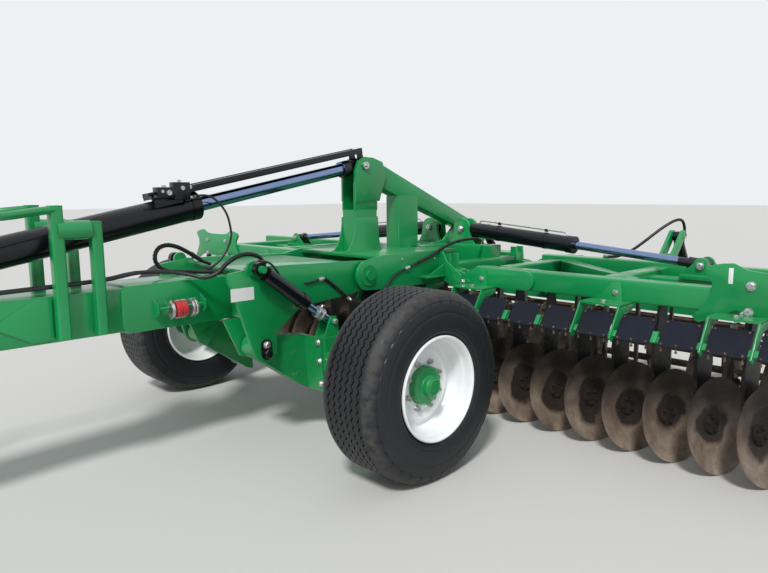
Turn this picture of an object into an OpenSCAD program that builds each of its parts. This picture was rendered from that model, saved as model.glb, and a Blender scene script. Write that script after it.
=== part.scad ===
// Trailed disc harrow with two folding wings, standing spread out on its wheels and jack.
// Y = 0 is the middle of the machine's length, +X its left side, -Y its front.
// Places along Y are written from the wheel axle and moved into the frame by placed().

/* [Wheels] */
// Distance between the middles of the two tyres
track = 2600; // [2400:20:2800]
// Outer radius of a tyre, which is also the height of the wheel centres
tyre_r = 545; // [520:5:560]
// Width of a tyre
tyre_w = 420; // [380:10:440]
// Radius of the rim's edge
rim_r = 298; // [290:1:305]
// Reach of the trailing arms from their pivot back to the wheel centre
arm_reach = 420; // [380:10:460]

/* [Frame] */
// Depth of the square frame beams, front to back
beam_d = 120; // [100:5:130]
// Height of the frame beams
beam_h = 140; // [120:5:150]
// Height of the rear beams, which also carry the rollers
rear_beam_h = 165; // [150:5:175]
// Underside of the beams
beam_z = 935; // [900:5:960]
// Middle of the front beams behind the wheel axle
front_y = 1285; // [1270:5:1310]
// Middle of the rear beams behind the wheel axle
rear_y = 2190; // [2150:10:2240]
// Distance of each wing hinge from the middle
hinge_x = 700; // [690:5:720]
// Height of the wing hinges
hinge_z = 954; // [945:1:965]
// Inner end of the wing beams
wing_start = 800; // [790:5:830]
// Outer end of the wing beams
wing_end = 3240; // [3215:5:3260]
// Thickness of the heavy side plates
plate_t = 25; // [20:1:26]

/* [Discs] */
// Diameter of a disc
disc_d = 560; // [510:10:580]
// Thickness of a disc
disc_t = 6; // [5:0.5:8]
// Depth of the dish of a disc
dish = 60; // [45:1:70]
// Distance from one disc to the next in a row
disc_pitch = 255; // [245:1:265]
// Angle of the discs to the way of travel
disc_yaw = 17; // [12:1:20]
// Lean of the discs
disc_lean = 10; // [6:1:12]
// Height of the tools above the ground the machine stands on
ground_gap = 4; // [3:1:20]

/* [Drawbar] */
// Half width of the drawbar beam
bar_w = 150; // [140:5:160]
// Front end of the towing eye's middle ahead of the axle
eye_y = 4550; // [4300:50:4700]
// Height of the towing eye
eye_z = 480; // [430:10:520]
// Radius of the towing eye's hole
eye_bore = 26; // [20:1:30]

/* [Rams] */
// Radius of the main folding ram's barrel
main_ram_r = 84; // [75:1:88]
// Radius of the wing rams' barrels
wing_ram_r = 62; // [55:1:65]
// Radius of the lift rams' barrels
lift_ram_r = 46; // [40:1:50]
// Radial running gap of every pin and rod in its hole
fit = 0.25; // [0.15:0.05:0.5]
// Side gap of a rod eye between its lugs
eye_gap = 6; // [5:0.5:8]

/* [Rollers] */
// Radius of the rear rollers
roller_r = 270; // [250:5:290]
// Distance of the rollers behind the wheel axle
roller_y = 3100; // [3050:10:3200]

/* [Hidden] */

green = "#0A8A4B";
black = "#14161A";
steel = "#C9CDD2";
soil = "#5A4A3E";
white = "#F2F3F3";

eye_ring = eye_bore + 49;
lift_eye_w = 60;
wing_eye_w = 84;
main_pin_r = 35;
lift_pin_r = 22;
wing_pin_r = 30;
roller_pin_r = 24;
arm_pin_r = 22;
main_eye_w = 80;
axle_y = (eye_y + eye_ring - roller_y - roller_r) / 2;

// Pivots as [x, y, z], with y from the wheel axle
tilt_pivot = [450, 420, 1055];
arm_pivot = [430, -arm_reach, 670];
ram_base = [0, -2800, 1114];
tower_pin = [0, 770, 1830];
lift_top = [520, -500, 1180];
lift_pin = [520, 24, 800];
wing_base = [185, 1880, 1310];
wing_eye = [2190, 1880, 1130];
roller_pivot = [0, rear_y + 150, 1050];
roller_top = [0, rear_y + 210, 1280];
roller_pin = [0, rear_y + 630, 720];
jack_x = -240;
jack_half = 40;
jack_y = -3600;

tilt_gap = 15;
carrier_x = tilt_pivot.x - plate_t / 2 - tilt_gap / 2;
swing_x = tilt_pivot.x + plate_t / 2 + tilt_gap / 2;
beam_top = beam_z + beam_h;
rear_top = beam_z + rear_beam_h;
deck_z = 1150;
wall_y = -480;
leg_back = dish + 45 + 25;
disc_r = disc_d / 2;
disc_z = ground_gap + 2 + disc_r * cos(disc_lean) - disc_t;

module placed() {
    translate([0, axle_y, 0]) children();
}

module both_sides() {
    children();
    mirror([1, 0, 0]) children();
}

// Turns +Z along the line from a to b, with the child's X upright
module span(a, b) {
    v = b - a;
    translate(a) rotate([0, acos(v.z / norm(v)), atan2(v.y, v.x)]) children();
}

module beam(a, b, w, h) {
    span(a, b) linear_extrude(norm(b - a)) square([h, w], center = true);
}

module bar(a, b, r) {
    span(a, b) cylinder(h = norm(b - a), r = r, $fn = 48);
}

// A block between two corners
module block(a, b) {
    translate(a) cube(b - a);
}

// Upright plate along Y from a Y-Z outline, middle at x
module plate_yz(x, t) {
    translate([x - t / 2, 0, 0]) rotate([90, 0, 90]) linear_extrude(t) children();
}

// Upright plate across the machine from an X-Z outline, middle at y
module plate_xz(y, t) {
    translate([0, y + t / 2, 0]) rotate([90, 0, 0]) linear_extrude(t) children();
}

module pin_x(p, r, l) {
    translate(p) rotate([0, 90, 0]) cylinder(h = l, r = r, center = true, $fn = 48);
}

module pin_y(p, r, l) {
    translate(p) rotate([90, 0, 0]) cylinder(h = l, r = r, center = true, $fn = 48);
}

// Outline of a strap with round ends between two points
module strap(a, b, r1, r2) {
    hull() {
        translate(a) circle(r = r1, $fn = 40);
        translate(b) circle(r = r2, $fn = 40);
    }
}

// Drawbar

module drawbar() {
    profile = [[wall_y, 850], [wall_y, 1100], [-2050, 1100], [-2400, 1060], [-4300, 600],
        [-4300, 440], [-2350, 770], [-2000, 850]];
    color(green) placed() {
        plate_yz(0, 2 * bar_w) polygon(profile);
        block([-bar_w - 15, -1180, 840], [bar_w + 15, wall_y, 1112]);
        both_sides() plate_yz(75, 30)
            polygon([[-2960, 920], [-2600, 1005], [-2740, 1160], [-2800, 1190], [-2860, 1160]]);
        pin_x(ram_base, main_pin_r, 230);
    }
}

module hitch() {
    color(green) placed() difference() {
        union() {
            translate([0, -eye_y, eye_z - 30]) cylinder(h = 60, r = eye_ring, $fn = 96);
            block([-60, -eye_y + eye_bore + 20, eye_z - 30], [60, -4320, eye_z + 30]);
            block([-110, -4330, 420], [110, -4300, 620]);
        }
        translate([0, -eye_y, eye_z - 40]) cylinder(h = 80, r = eye_bore, $fn = 96);
    }
}

module jack_sleeve() {
    color(green) placed() {
        difference() {
            block([jack_x - 50, jack_y - 50, 330], [jack_x + 50, jack_y + 50, 980]);
            block([jack_x - jack_half - 0.4, jack_y - jack_half - 0.4, 320],
                [jack_x + jack_half + 0.4, jack_y + jack_half + 0.4, 960]);
        }
        block([jack_x + 50, jack_y - 70, 600], [-bar_w, jack_y + 70, 720]);
        translate([jack_x, jack_y, 980]) cylinder(h = 30, r = 38, $fn = 48);
        translate([jack_x, jack_y, 1010]) cylinder(h = 40, r = 12, $fn = 32);
        bar([jack_x, jack_y, 1038], [jack_x - 170, jack_y, 1038], 10);
        bar([jack_x - 160, jack_y, 1038], [jack_x - 160, jack_y, 1150], 9);
    }
}

module jack_leg() {
    color(steel) placed() {
        block([jack_x - jack_half, jack_y - jack_half, 15], [jack_x + jack_half, jack_y + jack_half, 600]);
        block([jack_x - 120, jack_y - 120, 0], [jack_x + 120, jack_y + 120, 15]);
    }
}

// Heavy side plates that carry the tilting frame and the trailing arms
module chassis_plate_outline() {
    difference() {
        union() {
            polygon([[-670, 1112], [-670, 1156], [-460, 1185], [300, 1162], [420, 1152],
                [520, 1055], [420, 952], [300, 935], [-140, 900], [-330, 760], [-352, 700],
                [-430, 585], [-490, 610], [-640, 1060]]);
            translate([arm_pivot.y, arm_pivot.z]) circle(r = 86, $fn = 48);
            translate([tilt_pivot.y, tilt_pivot.z]) circle(r = 100, $fn = 64);
        }
    }
}

module chassis() {
    color(green) placed() {
        both_sides() plate_yz(carrier_x, plate_t) chassis_plate_outline();
        both_sides() plate_yz(carrier_x - 175, 20) polygon([[-600, 850], [-480, 850], [-300, 850],
            [-330, 760], [-345, 700], [-430, 585], [-490, 610]]);
        block([-carrier_x, wall_y, deck_z - 25], [carrier_x, 330, deck_z]);
        block([-carrier_x, wall_y, 850], [carrier_x, wall_y + 25, deck_z]);
        block([-carrier_x, 40, 925], [carrier_x, 65, deck_z]);
        block([-bar_w, wall_y, 860], [bar_w, 50, deck_z - 10]);
        pin_x([0, tilt_pivot.y, tilt_pivot.z], 60, 2 * carrier_x - plate_t);
        both_sides() pin_x([arm_pivot.x - 88, arm_pivot.y, arm_pivot.z], 34, 210);
    }
}

// Pins on the outer faces of the side plates, for the tilting frame and the lift rams
module side_pins() {
    face_x = carrier_x + plate_t / 2;
    tilt_l = tilt_gap + plate_t + 28;
    lift_l = lift_top.x - face_x + lift_eye_w / 2 + 20;
    color(green) placed() both_sides() {
        pin_x([face_x + tilt_l / 2, tilt_pivot.y, tilt_pivot.z], 34, tilt_l);
        pin_x([face_x + lift_l / 2, lift_top.y, lift_top.z], lift_pin_r, lift_l);
        pin_x([face_x + 10, lift_top.y, lift_top.z], 45, 20);
    }
}

// Posts that the folded wings rest on
module wing_stands() {
    x = bar_w + 15 + 25;
    color(green) placed() both_sides() {
        block([bar_w, -1535, 870], [x + 25, -1470, 1535]);
        block([bar_w + 15, -1335, 870], [x + 25, -1275, 1476]);
        bar([x, -1470, 1450], [x, -1335, 1450], 50);
        bar([x, -1500, 1520], [x + 100, -2700, 1520], 26);
        block([x + 50, -2740, 1480], [x + 150, -2700, 1560]);
        beam([x + 100, -2720, 1500], [bar_w + 12, -2720, 930], 50, 24);
    }
}

// Trailing axle and wheels

module axle() {
    arm_x = 340;
    flange = [[-85, 700], [-60, 700], [-30, 340], [-55, 340]];
    color(green) placed() {
        both_sides() {
            difference() {
                union() {
                    plate_yz(arm_x, 110) polygon([[-395, 745], [-85, 700], [-60, 340], [-110, 365],
                        [-440, 600]]);
                    pin_x([arm_x, arm_pivot.y, arm_pivot.z], 76, 110);
                }
                pin_x([arm_x, arm_pivot.y, arm_pivot.z], 34 + fit, 130);
            }
            plate_yz(430, 260) polygon([[-85, 700], [-60, 700], [-35, 340], [-60, 340]]);
            block([lift_pin.x - 60, -60, tyre_r + 40], [lift_pin.x + 60, 60, 700]);
            for (side = [-1, 1]) {
                lug_x = lift_pin.x + side * (lift_eye_w / 2 + eye_gap + 7);
                plate_yz(lug_x, 14) polygon([[-60, 680], [70, 680], [60, 800], [44, 832],
                    [4, 832], [-12, 800]]);
                pin_x([lug_x + side * 12, lift_pin.y, lift_pin.z], 20, 14);
            }
        }
        block([-1150, -60, tyre_r - 60], [1150, 60, tyre_r + 60]);
        both_sides() pin_x([1150 + 75, 0, tyre_r], 44, 150);
    }
}

module tyre() {
    hw = tyre_w / 2;
    outer = [[rim_r + 4, -hw + 30], [rim_r + 30, -hw + 6], [(tyre_r + rim_r) / 2, -hw],
        [tyre_r - 60, -hw + 8], [tyre_r - 16, -hw + 36], [tyre_r, -hw + 62], [tyre_r, hw - 62],
        [tyre_r - 16, hw - 36], [tyre_r - 60, hw - 8], [(tyre_r + rim_r) / 2, hw],
        [rim_r + 30, hw - 6], [rim_r + 4, hw - 30]];
    translate([track / 2, 0, tyre_r]) rotate([0, 90, 0]) rotate_extrude($fn = 96)
        polygon(concat(outer, [[rim_r - 12, hw - 30], [rim_r - 12, -hw + 30]]));
}

module rim() {
    hw = tyre_w / 2;
    profile = [[rim_r - 13, -hw + 30], [rim_r, -hw + 18], [rim_r, -hw + 10], [rim_r - 20, -hw + 16],
        [rim_r - 26, -hw + 60], [rim_r - 50, -30], [rim_r - 50, 20], [rim_r - 100, 55],
        [110, 55], [110, 68], [rim_r - 94, 68], [rim_r - 38, 40], [rim_r - 26, hw - 60],
        [rim_r - 20, hw - 16], [rim_r, hw - 10], [rim_r, hw - 18], [rim_r - 13, hw - 30],
        [rim_r - 13, hw - 60], [rim_r - 30, 30], [rim_r - 40, -20], [rim_r - 13, -hw + 60]];
    translate([track / 2, 0, tyre_r]) rotate([0, 90, 0]) rotate_extrude($fn = 96)
        polygon(profile);
}

module hub() {
    translate([track / 2, 0, tyre_r]) rotate([0, 90, 0]) difference() {
        union() {
            translate([0, 0, -70]) cylinder(h = 125, r = 90, $fn = 64);
            translate([0, 0, 42]) cylinder(h = 13, r = 165, $fn = 64);
            translate([0, 0, 55]) cylinder(h = 55, r = 108, $fn = 64);
            translate([0, 0, 110]) cylinder(h = 40, r = 58, $fn = 64);
            for (i = [0 : 7]) rotate(i * 45) translate([137, 0, 50]) cylinder(h = 5, r = 10, $fn = 24);
        }
        translate([0, 0, -80]) cylinder(h = 90, r = 44 + fit, $fn = 64);
    }
}

module tyre_left() { color("#222222") placed() tyre(); }
module tyre_right() { color("#222222") placed() mirror([1, 0, 0]) tyre(); }
module rim_left() { color(white) placed() rim(); }
module rim_right() { color(white) placed() mirror([1, 0, 0]) rim(); }
module hub_left() { color(green) placed() hub(); }
module hub_right() { color(green) placed() mirror([1, 0, 0]) hub(); }

// Rams

// Barrel with its base eye at a, pointing at b; the eye's hole runs along the child's Y
module ram_barrel(a, b, r, length, bore, eye_r, eye_w, pin_r, neck) {
    span(a, b) difference() {
        union() {
            translate([0, 0, neck]) cylinder(h = length - neck, r = r, $fn = 64);
            translate([-eye_r * 0.8, -eye_w / 2, 0]) cube([eye_r * 1.6, eye_w, neck + 1]);
            translate([0, 0, length - 60]) cylinder(h = 60, r = r + 5, $fn = 64);
            rotate([90, 0, 0]) cylinder(h = eye_w, r = eye_r, center = true, $fn = 48);
        }
        translate([0, 0, neck + 30]) cylinder(h = length, r = bore, $fn = 64);
        rotate([90, 0, 0]) cylinder(h = eye_w + 10, r = pin_r, center = true, $fn = 48);
    }
}

// Rod that ends in an eye at b; it starts inside the barrel
module ram_rod(a, b, r, length, eye_r, eye_w, collar_r, collar_at) {
    total = norm(b - a);
    span(b, a) {
        translate([0, 0, collar_at]) cylinder(h = length - collar_at, r = r, $fn = 48);
        translate([-eye_r * 0.75, -eye_w / 2, 0]) cube([eye_r * 1.5, eye_w, collar_at + 1]);
        translate([0, 0, collar_at]) cylinder(h = 70, r = collar_r, $fn = 48);
        rotate([90, 0, 0]) cylinder(h = eye_w, r = eye_r, center = true, $fn = 48);
    }
}

module main_barrel() {
    color(black) placed() ram_barrel(ram_base, tower_pin, main_ram_r, 2240, 45 + fit, 70, 110, main_pin_r + fit, 140);
}

module main_rod() {
    color(steel) placed() ram_rod(ram_base, tower_pin, 45, 1900, 58, main_eye_w, 60, 108);
}

// Channel carried over the rod by the rod's end
module lock_bar() {
    color(black) placed() {
        a = tower_pin;
        dir = (ram_base - tower_pin) / norm(ram_base - tower_pin);
        up = [0, -dir.z, dir.y] * -1;
        top = 112;
        beam(a + up * top - dir * 20, a + up * top + dir * 1700, main_eye_w + 26, 30);
        both_sides() plate_yz(main_eye_w / 2 + 5, 10) strap([a.y, a.z], [a.y + up.y * top, a.z + up.z * top], 40, 20);
    }
}

module lift_barrel() {
    ram_barrel(lift_top, lift_pin, lift_ram_r, 420, 22 + fit, 42, 40, lift_pin_r + fit, 55);
}

module lift_rod() {
    ram_rod(lift_top, lift_pin, 22, 400, 32, lift_eye_w, 29, 20);
}

module lift_barrels() { color(black) placed() both_sides() lift_barrel(); }
module lift_rods() { color(steel) placed() both_sides() lift_rod(); }

// Centre frame

module tower() {
    post = 72;
    color(green) placed() {
        difference() {
            block([-post, 670, 1180], [post, 910, 1700]);
            block([12 - post, 600, 1496], [post - 12, 880, 1710]);
        }
        plate_yz(0, 2 * post) polygon([[553, 1180], [640, 1290], [670, 1425], [910, 1425],
            [930, 1300], [1000, 1180]]);
        block([-post, 1145, 1180], [post, 1385, 1600]);
        plate_yz(0, 120) polygon([[925, 1680], [925, 1862], [960, 1850], [2060, 1395], [2010, 1290]]);
        both_sides() difference() {
            plate_yz(72, 24) polygon([[675, 1560], [925, 1560], [1000, 1760], [960, 1860], [860, 1890],
                [770, 1895], [705, 1860], [675, 1790]]);
        }
        both_sides() pin_x([84 + 6, tower_pin.y, tower_pin.z], 33.9, 14);
    }
}

// One hinge: the inner half's two lugs with the wing's lugs outside them
module hinge_inner(y) {
    for (side = [-1, 1]) plate_xz(y + side * 45, 24) difference() {
        union() {
            polygon([[480, beam_z], [hinge_x - 60, beam_z], [hinge_x - 20, hinge_z - 50],
                [hinge_x + 10, hinge_z + 53], [600, 1036], [545, 1040], [535, 1150], [480, 1150]]);
            translate([hinge_x, hinge_z]) circle(r = 54, $fn = 48);
        }
        translate([hinge_x, hinge_z]) circle(r = 30 + fit, $fn = 48);
    }
}

module centre_frame() {
    color(green) placed() {
        both_sides() {
            difference() {
                plate_yz(swing_x, plate_t) union() {
                    polygon([[420, 950], [420, 1160], [560, 1185], [1230, 1185], [1230, beam_z],
                        [700, 935]]);
                    translate([tilt_pivot.y, tilt_pivot.z]) circle(r = 105, $fn = 64);
                }
                pin_x([swing_x, tilt_pivot.y, tilt_pivot.z], 34 + fit, 60);
            }
            block([410, front_y + beam_d / 2, beam_z], [530, rear_y - beam_d / 2, beam_top]);
            hinge_inner(front_y);
            hinge_inner(rear_y);
            plate_xz(wing_base.y - 52, 24) wing_base_outline();
            plate_xz(wing_base.y + 52, 24) wing_base_outline();
            pin_y([wing_base.x, wing_base.y, wing_base.z], wing_pin_r, 150);
        }
        centre_beam(front_y, beam_top);
        centre_beam(rear_y, rear_top);
        block([-swing_x, 560, 1150], [swing_x, 1400, 1180]);
        block([-110, front_y, beam_top], [110, rear_y, 1180]);
        both_sides() plate_yz(40, 24) roller_post_outline();
        pin_x([0, roller_top.y, roller_top.z], roller_pin_r, 110);
        both_sides() roller_lugs(300);
        both_sides() shield_hoop(gap_x(-2));
        shield_rail(45 - gap_x(0), gap_x(0) - 45);
    }
}

// The ends step down under the folded wing's beam
module centre_beam(y, top) {
    block([-535, y - beam_d / 2, beam_z], [535, y + beam_d / 2, top]);
    block([-640, y - 33, beam_z], [640, y + 33, 1030]);
}

module wing_base_outline() {
    difference() {
        union() {
            translate([wing_base.x, wing_base.z]) circle(r = 55, $fn = 48);
            polygon([[60, 1150], [300, 1150], [wing_base.x + 54, wing_base.z - 10],
                [wing_base.x - 54, wing_base.z - 10]]);
        }
        translate([wing_base.x, wing_base.z]) circle(r = 29, $fn = 48);
    }
}

module roller_post_outline() {
    polygon([[rear_y - 40, rear_top - 5], [rear_y + 60, rear_top - 5],
        [roller_top.y + 45, roller_top.z + 10], [roller_top.y + 10, roller_top.z + 45],
        [roller_top.y - 40, roller_top.z + 20]]);
}

module roller_lugs(x) {
    for (side = [-1, 1]) difference() {
        plate_yz(x + side * 45, 20) union() {
            polygon([[rear_y + beam_d / 2 - 2, beam_z + 10], [rear_y + beam_d / 2 - 2, rear_top],
                [roller_pivot.y, roller_pivot.z + 45], [roller_pivot.y, roller_pivot.z - 45]]);
            translate([roller_pivot.y, roller_pivot.z]) circle(r = 45, $fn = 40);
        }
        pin_x([x, roller_pivot.y, roller_pivot.z], arm_pin_r, 200);
    }
    pin_x([x, roller_pivot.y, roller_pivot.z], arm_pin_r, 120);
}

// Discs and their legs

// The dish: its rim plane stands at the origin with the hollow side towards +Z
module disc_blade() {
    ball = (disc_r * disc_r + dish * dish) / (2 * dish);
    steps = 6;
    function drop(r) = ball - sqrt(ball * ball - r * r) - dish;
    rotate_extrude($fn = 48) polygon(concat(
        [for (i = [0 : steps]) [disc_r * i / steps, drop(disc_r * i / steps)]],
        [for (i = [steps : -1 : 0]) [disc_r * i / steps, drop(disc_r * i / steps) - disc_t]]));
    translate([0, 0, -dish - 45]) cylinder(h = 52, r = 62, $fn = 32);
}

// Places a child at a disc: x and y of its rim, side +1 for a hollow facing left
module disc_frame(x, y, side) {
    translate([x, y, disc_z]) rotate([0, 0, side > 0 ? -disc_yaw : 180 + disc_yaw])
        rotate([0, 90 - disc_lean, 0]) children();
}

module disc_row(xs, y, side) {
    for (x = xs) disc_frame(x, y, side) disc_blade();
}

// A leg hangs from the beam beside the back of its disc
module leg_row(xs, y, side, top) {
    for (x = xs) {
        disc_frame(x, y, side) translate([0, 0, -dish - 45 - 40])
            cylinder(h = 40, r = 46, $fn = 32);
        inner = x - side * leg_back * cos(disc_yaw);
        at = y + leg_back * sin(disc_yaw);
        translate([inner, at, 0]) rotate([0, 0, -side * disc_yaw]) {
            plate_yz(0, 22) polygon([[-27, top], [27, top], [70, 620], [45, 420], [50, disc_z - 60],
                [-50, disc_z - 60], [-55, 420], [-70, 640]]);
        }
    }
}

front_xs = [for (k = [4 : 13]) disc_pitch * k];
centre_front_xs = [for (k = [1 : 3]) disc_pitch * k];
rear_offset = 36;
rear_xs = [for (k = [3 : 12]) disc_pitch * k - rear_offset];
centre_rear_xs = [for (k = [1 : 2]) disc_pitch * k - rear_offset];
front_disc_y = front_y - leg_back * sin(disc_yaw);
rear_disc_y = rear_y - leg_back * sin(disc_yaw);

module centre_discs() {
    color(soil) placed() both_sides() {
        disc_row(centre_front_xs, front_disc_y, 1);
        disc_row(centre_rear_xs, rear_disc_y, -1);
    }
}

module centre_legs() {
    color(black) placed() both_sides() {
        leg_row(centre_front_xs, front_disc_y, 1, beam_z);
        leg_row(centre_rear_xs, rear_disc_y, -1, beam_z);
    }
}

module wing_discs() {
    disc_row(front_xs, front_disc_y, 1);
    disc_row(rear_xs, rear_disc_y, -1);
}

module wing_legs() {
    leg_row(front_xs, front_disc_y, 1, beam_z);
    leg_row(rear_xs, rear_disc_y, -1, beam_z);
}

module discs_left() { color(soil) placed() wing_discs(); }
module discs_right() { color(soil) placed() mirror([1, 0, 0]) wing_discs(); }
module legs_left() { color(black) placed() wing_legs(); }
module legs_right() { color(black) placed() mirror([1, 0, 0]) wing_legs(); }

// Shields ahead of the front discs

// One shield a disc, with a gap between them for the clips and hoops
shield_w = disc_pitch - 50;
shield_top = [1070, 885];
shield_low = [960, 752];
shield_dir = (shield_top - shield_low) / norm(shield_top - shield_low);
shield_out = [-shield_dir.y, shield_dir.x];

module shield(x, w) {
    translate([x, 0, 0]) rotate([90, 0, 90]) linear_extrude(w)
        polygon([shield_low, shield_top, shield_top + shield_out * 7, shield_low + shield_out * 7]);
}

// Gap k lies at gap_x(k); the wing's shields stand outboard of the hinge
function gap_x(k) = hinge_x + 27.5 + disc_pitch * k;

module centre_shields() {
    color(black) placed() {
        both_sides() for (k = [-2, -1]) shield(gap_x(k) + 25, shield_w);
        shield(-190, 380);
    }
}

module wing_shields() {
    for (k = [0 : 9]) shield(gap_x(k) + 25, shield_w);
}

module shields_left() { color(black) placed() wing_shields(); }
module shields_right() { color(black) placed() mirror([1, 0, 0]) wing_shields(); }

// Wings

// The wing's half of a hinge: plates either side of the beam with the pin between them
module hinge_outer(y, z, length) {
    for (side = [-1, 1]) plate_xz(y + side * (beam_d / 2 + 12), 24) union() {
        translate([hinge_x, hinge_z]) circle(r = 58, $fn = 48);
        polygon([[hinge_x, hinge_z - 57], [hinge_x, hinge_z + 57], [820, z + beam_h - 2],
            [length, z + beam_h - 2], [length + 60, z + beam_h / 2 + 20],
            [length + 60, z + beam_h / 2 - 20], [length, z + 2], [820, z + 2]]);
    }
    pin_y([hinge_x, y, hinge_z], 30, beam_d + 70);
}

module wing_frame() {
    hinge_outer(front_y, beam_z, 1250);
    hinge_outer(rear_y, beam_z, 1100);
    block([wing_start, front_y - beam_d / 2, beam_z], [wing_end, front_y + beam_d / 2, beam_top]);
    block([wing_start, rear_y - beam_d / 2, beam_z], [wing_end, rear_y + beam_d / 2, rear_top]);
    for (x = [950, 1800, 2660]) block([x - 60, front_y + beam_d / 2, beam_z + 10],
        [x + 60, rear_y - beam_d / 2, beam_top]);
    beam([1010, rear_y - 100, beam_z + 90], [1740, front_y + 100, beam_z + 90], 90, 80);
    for (side = [-1, 1]) plate_xz(wing_eye.y + side * (wing_eye_w / 2 + eye_gap + 10), 20) difference() {
        polygon([[2060, beam_top - 10], [2330, beam_top - 10], [2240, wing_eye.z + 45],
            [2150, wing_eye.z + 45]]);
        translate([wing_eye.x, wing_eye.z]) circle(r = 31, $fn = 40);
    }
    for (side = [-1, 1]) pin_y([wing_eye.x, wing_eye.y + side * (wing_eye_w / 2 + eye_gap + 14), wing_eye.z], 30.9, 26);
    block([1860, wing_eye.y - 60, beam_z + 10], [2600, wing_eye.y + 60, beam_top - 40]);
    block([2060, wing_eye.y - 80, beam_top - 42], [2330, wing_eye.y + 80, beam_top - 8]);
    both_sides_of(1800) plate_yz(40, 24) roller_post_outline();
    pin_x([1800, roller_top.y, roller_top.z], roller_pin_r, 110);
    for (x = [1000, 2700]) roller_lugs(x);
    for (k = [0, 4, 7]) shield_hoop(gap_x(k));
    for (k = [2, 3, 6, 9, 10]) shield_clip(gap_x(k));
    shield_rail(gap_x(0), gap_x(10));
}

module both_sides_of(x) {
    translate([x, 0, 0]) {
        children();
        mirror([1, 0, 0]) children();
    }
}

// Hoop of two side plates and a top plate round one shield
module shield_hoop(x) {
    back = front_y - beam_d / 2 - (x > 2300 ? 21 : 0);
    for (at = [x, x + disc_pitch]) plate_yz(at, 10) polygon([[back, 1020], [back, beam_z], [1110, 870], shield_low + [16, -24], shield_low + [-24, 6],
        shield_top + [-20, 40]]);
    block([x, shield_top.x - 20, beam_z - 6], [x + disc_pitch, back, beam_z + 6]);
}

// Small clip between two shields
module shield_clip(x) {
    plate_yz(x, 30) polygon([shield_low + [-10, 20], shield_low + [20, 20], shield_low + [62, 70],
        shield_low + [30, 76]]);
}

// Bar along the backs of the shields
module shield_rail(a, b) {
    translate([a - 5, 0, 0]) rotate([90, 0, 90]) linear_extrude(b - a + 10)
        polygon([shield_low + shield_dir * 20, shield_low + shield_dir * 60,
            shield_low + shield_dir * 60 - shield_out * 12, shield_low + shield_dir * 20 - shield_out * 12]);
}

module wing_plate() {
    plate_xz(front_y - beam_d / 2 - 11, 20) difference() {
        polygon([[2425, 870], [2700, 925], [2960, 905], [3360, 906], [3180, 1060], [3170, 1210],
            [2720, 1225], [2580, 1245], [2430, 1200]]);
        translate([2330, 1085]) circle(r = 150, $fn = 64);
        translate([3330, 1095]) circle(r = 150, $fn = 64);
    }
}

module wing_frame_left() { color(green) placed() wing_frame(); }
module wing_frame_right() { color(green) placed() mirror([1, 0, 0]) wing_frame(); }
module wing_plate_left() { color(green) placed() wing_plate(); }
module wing_plate_right() { color(green) placed() mirror([1, 0, 0]) wing_plate(); }

module wing_barrel() { ram_barrel(wing_base, wing_eye, wing_ram_r, 1060, 30 + fit, 50, 76, wing_pin_r + fit, 85); }
module wing_rod() { ram_rod(wing_base, wing_eye, 30, 1030, 42, wing_eye_w, 41, 30); }
module wing_barrel_left() { color(black) placed() wing_barrel(); }
module wing_barrel_right() { color(black) placed() mirror([1, 0, 0]) wing_barrel(); }
module wing_rod_left() { color(steel) placed() wing_rod(); }
module wing_rod_right() { color(steel) placed() mirror([1, 0, 0]) wing_rod(); }

// Rollers: each row is [middle x, half length, arm x from the middle, ram x]
roller_rows = [[0, 660, 300, 0], [2010, 1290, 1010 - 160, 1800]];

module roller_arms(c, half, arms, ram) {
    for (x = arms) {
        difference() {
            plate_yz(x, 60) union() {
                strap([roller_pivot.y, roller_pivot.z], [roller_y, roller_z() + roller_r + 60], 42, 42);
            }
            pin_x([x, roller_pivot.y, roller_pivot.z], arm_pin_r + fit, 100);
        }
    }
    block([c - half - 30, roller_y - 40, roller_z() + roller_r + 20],
        [c + half + 30, roller_y + 40, roller_z() + roller_r + 100]);
    for (side = [-1, 1]) difference() {
        plate_yz(c + side * (half + 20), 20)
            strap([roller_y, roller_z()], [roller_y, roller_z() + roller_r + 60], 50, 40);
        pin_x([c + side * (half + 20), roller_y, roller_z()], 25 + fit, 40);
    }
}

function roller_z() = roller_r + ground_gap;

module roller_cage(c, half) {
    translate([c, roller_y, roller_z()]) rotate([0, 90, 0]) {
        for (i = [0 : 4]) translate([0, 0, -half + 20 + i * (2 * half - 52) / 4])
            cylinder(h = 12, r = roller_r, $fn = 48);
        for (i = [0 : 9]) rotate(i * 36) translate([roller_r - 24, 0, -half + 20])
            cylinder(h = 2 * half - 40, r = 18, $fn = 24);
        translate([0, 0, -half + 4]) cylinder(h = 2 * half - 8, r = 45, $fn = 32);
        translate([0, 0, -half - 34]) cylinder(h = 2 * half + 68, r = 25, $fn = 32);
    }
}

module centre_arms() { color(green) placed() roller_arms(0, 640, [-300, 300], 0); }
module roller_arms_centre() { centre_arms(); }
module roller_arms_left() { color(green) placed() roller_arms(2040, 1250, [1000, 2700], 1800); }
module roller_arms_right() {
    color(green) placed() mirror([1, 0, 0]) roller_arms(2040, 1250, [1000, 2700], 1800);
}
module roller_centre() { color(soil) placed() roller_cage(0, 640); }
module roller_left() { color(soil) placed() roller_cage(2040, 1250); }
module roller_right() { color(soil) placed() mirror([1, 0, 0]) roller_cage(2040, 1250); }

module roller_barrel(x) {
    translate([x, 0, 0]) ram_barrel(roller_top, roller_pin, 38, 420, 18 + fit, 36, 44, roller_pin_r + fit, 75);
}

module roller_rod(x) {
    translate([x, 0, 0]) ram_rod(roller_top, roller_pin, 18, 380, 30, 40, 20, 20);
}

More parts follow.
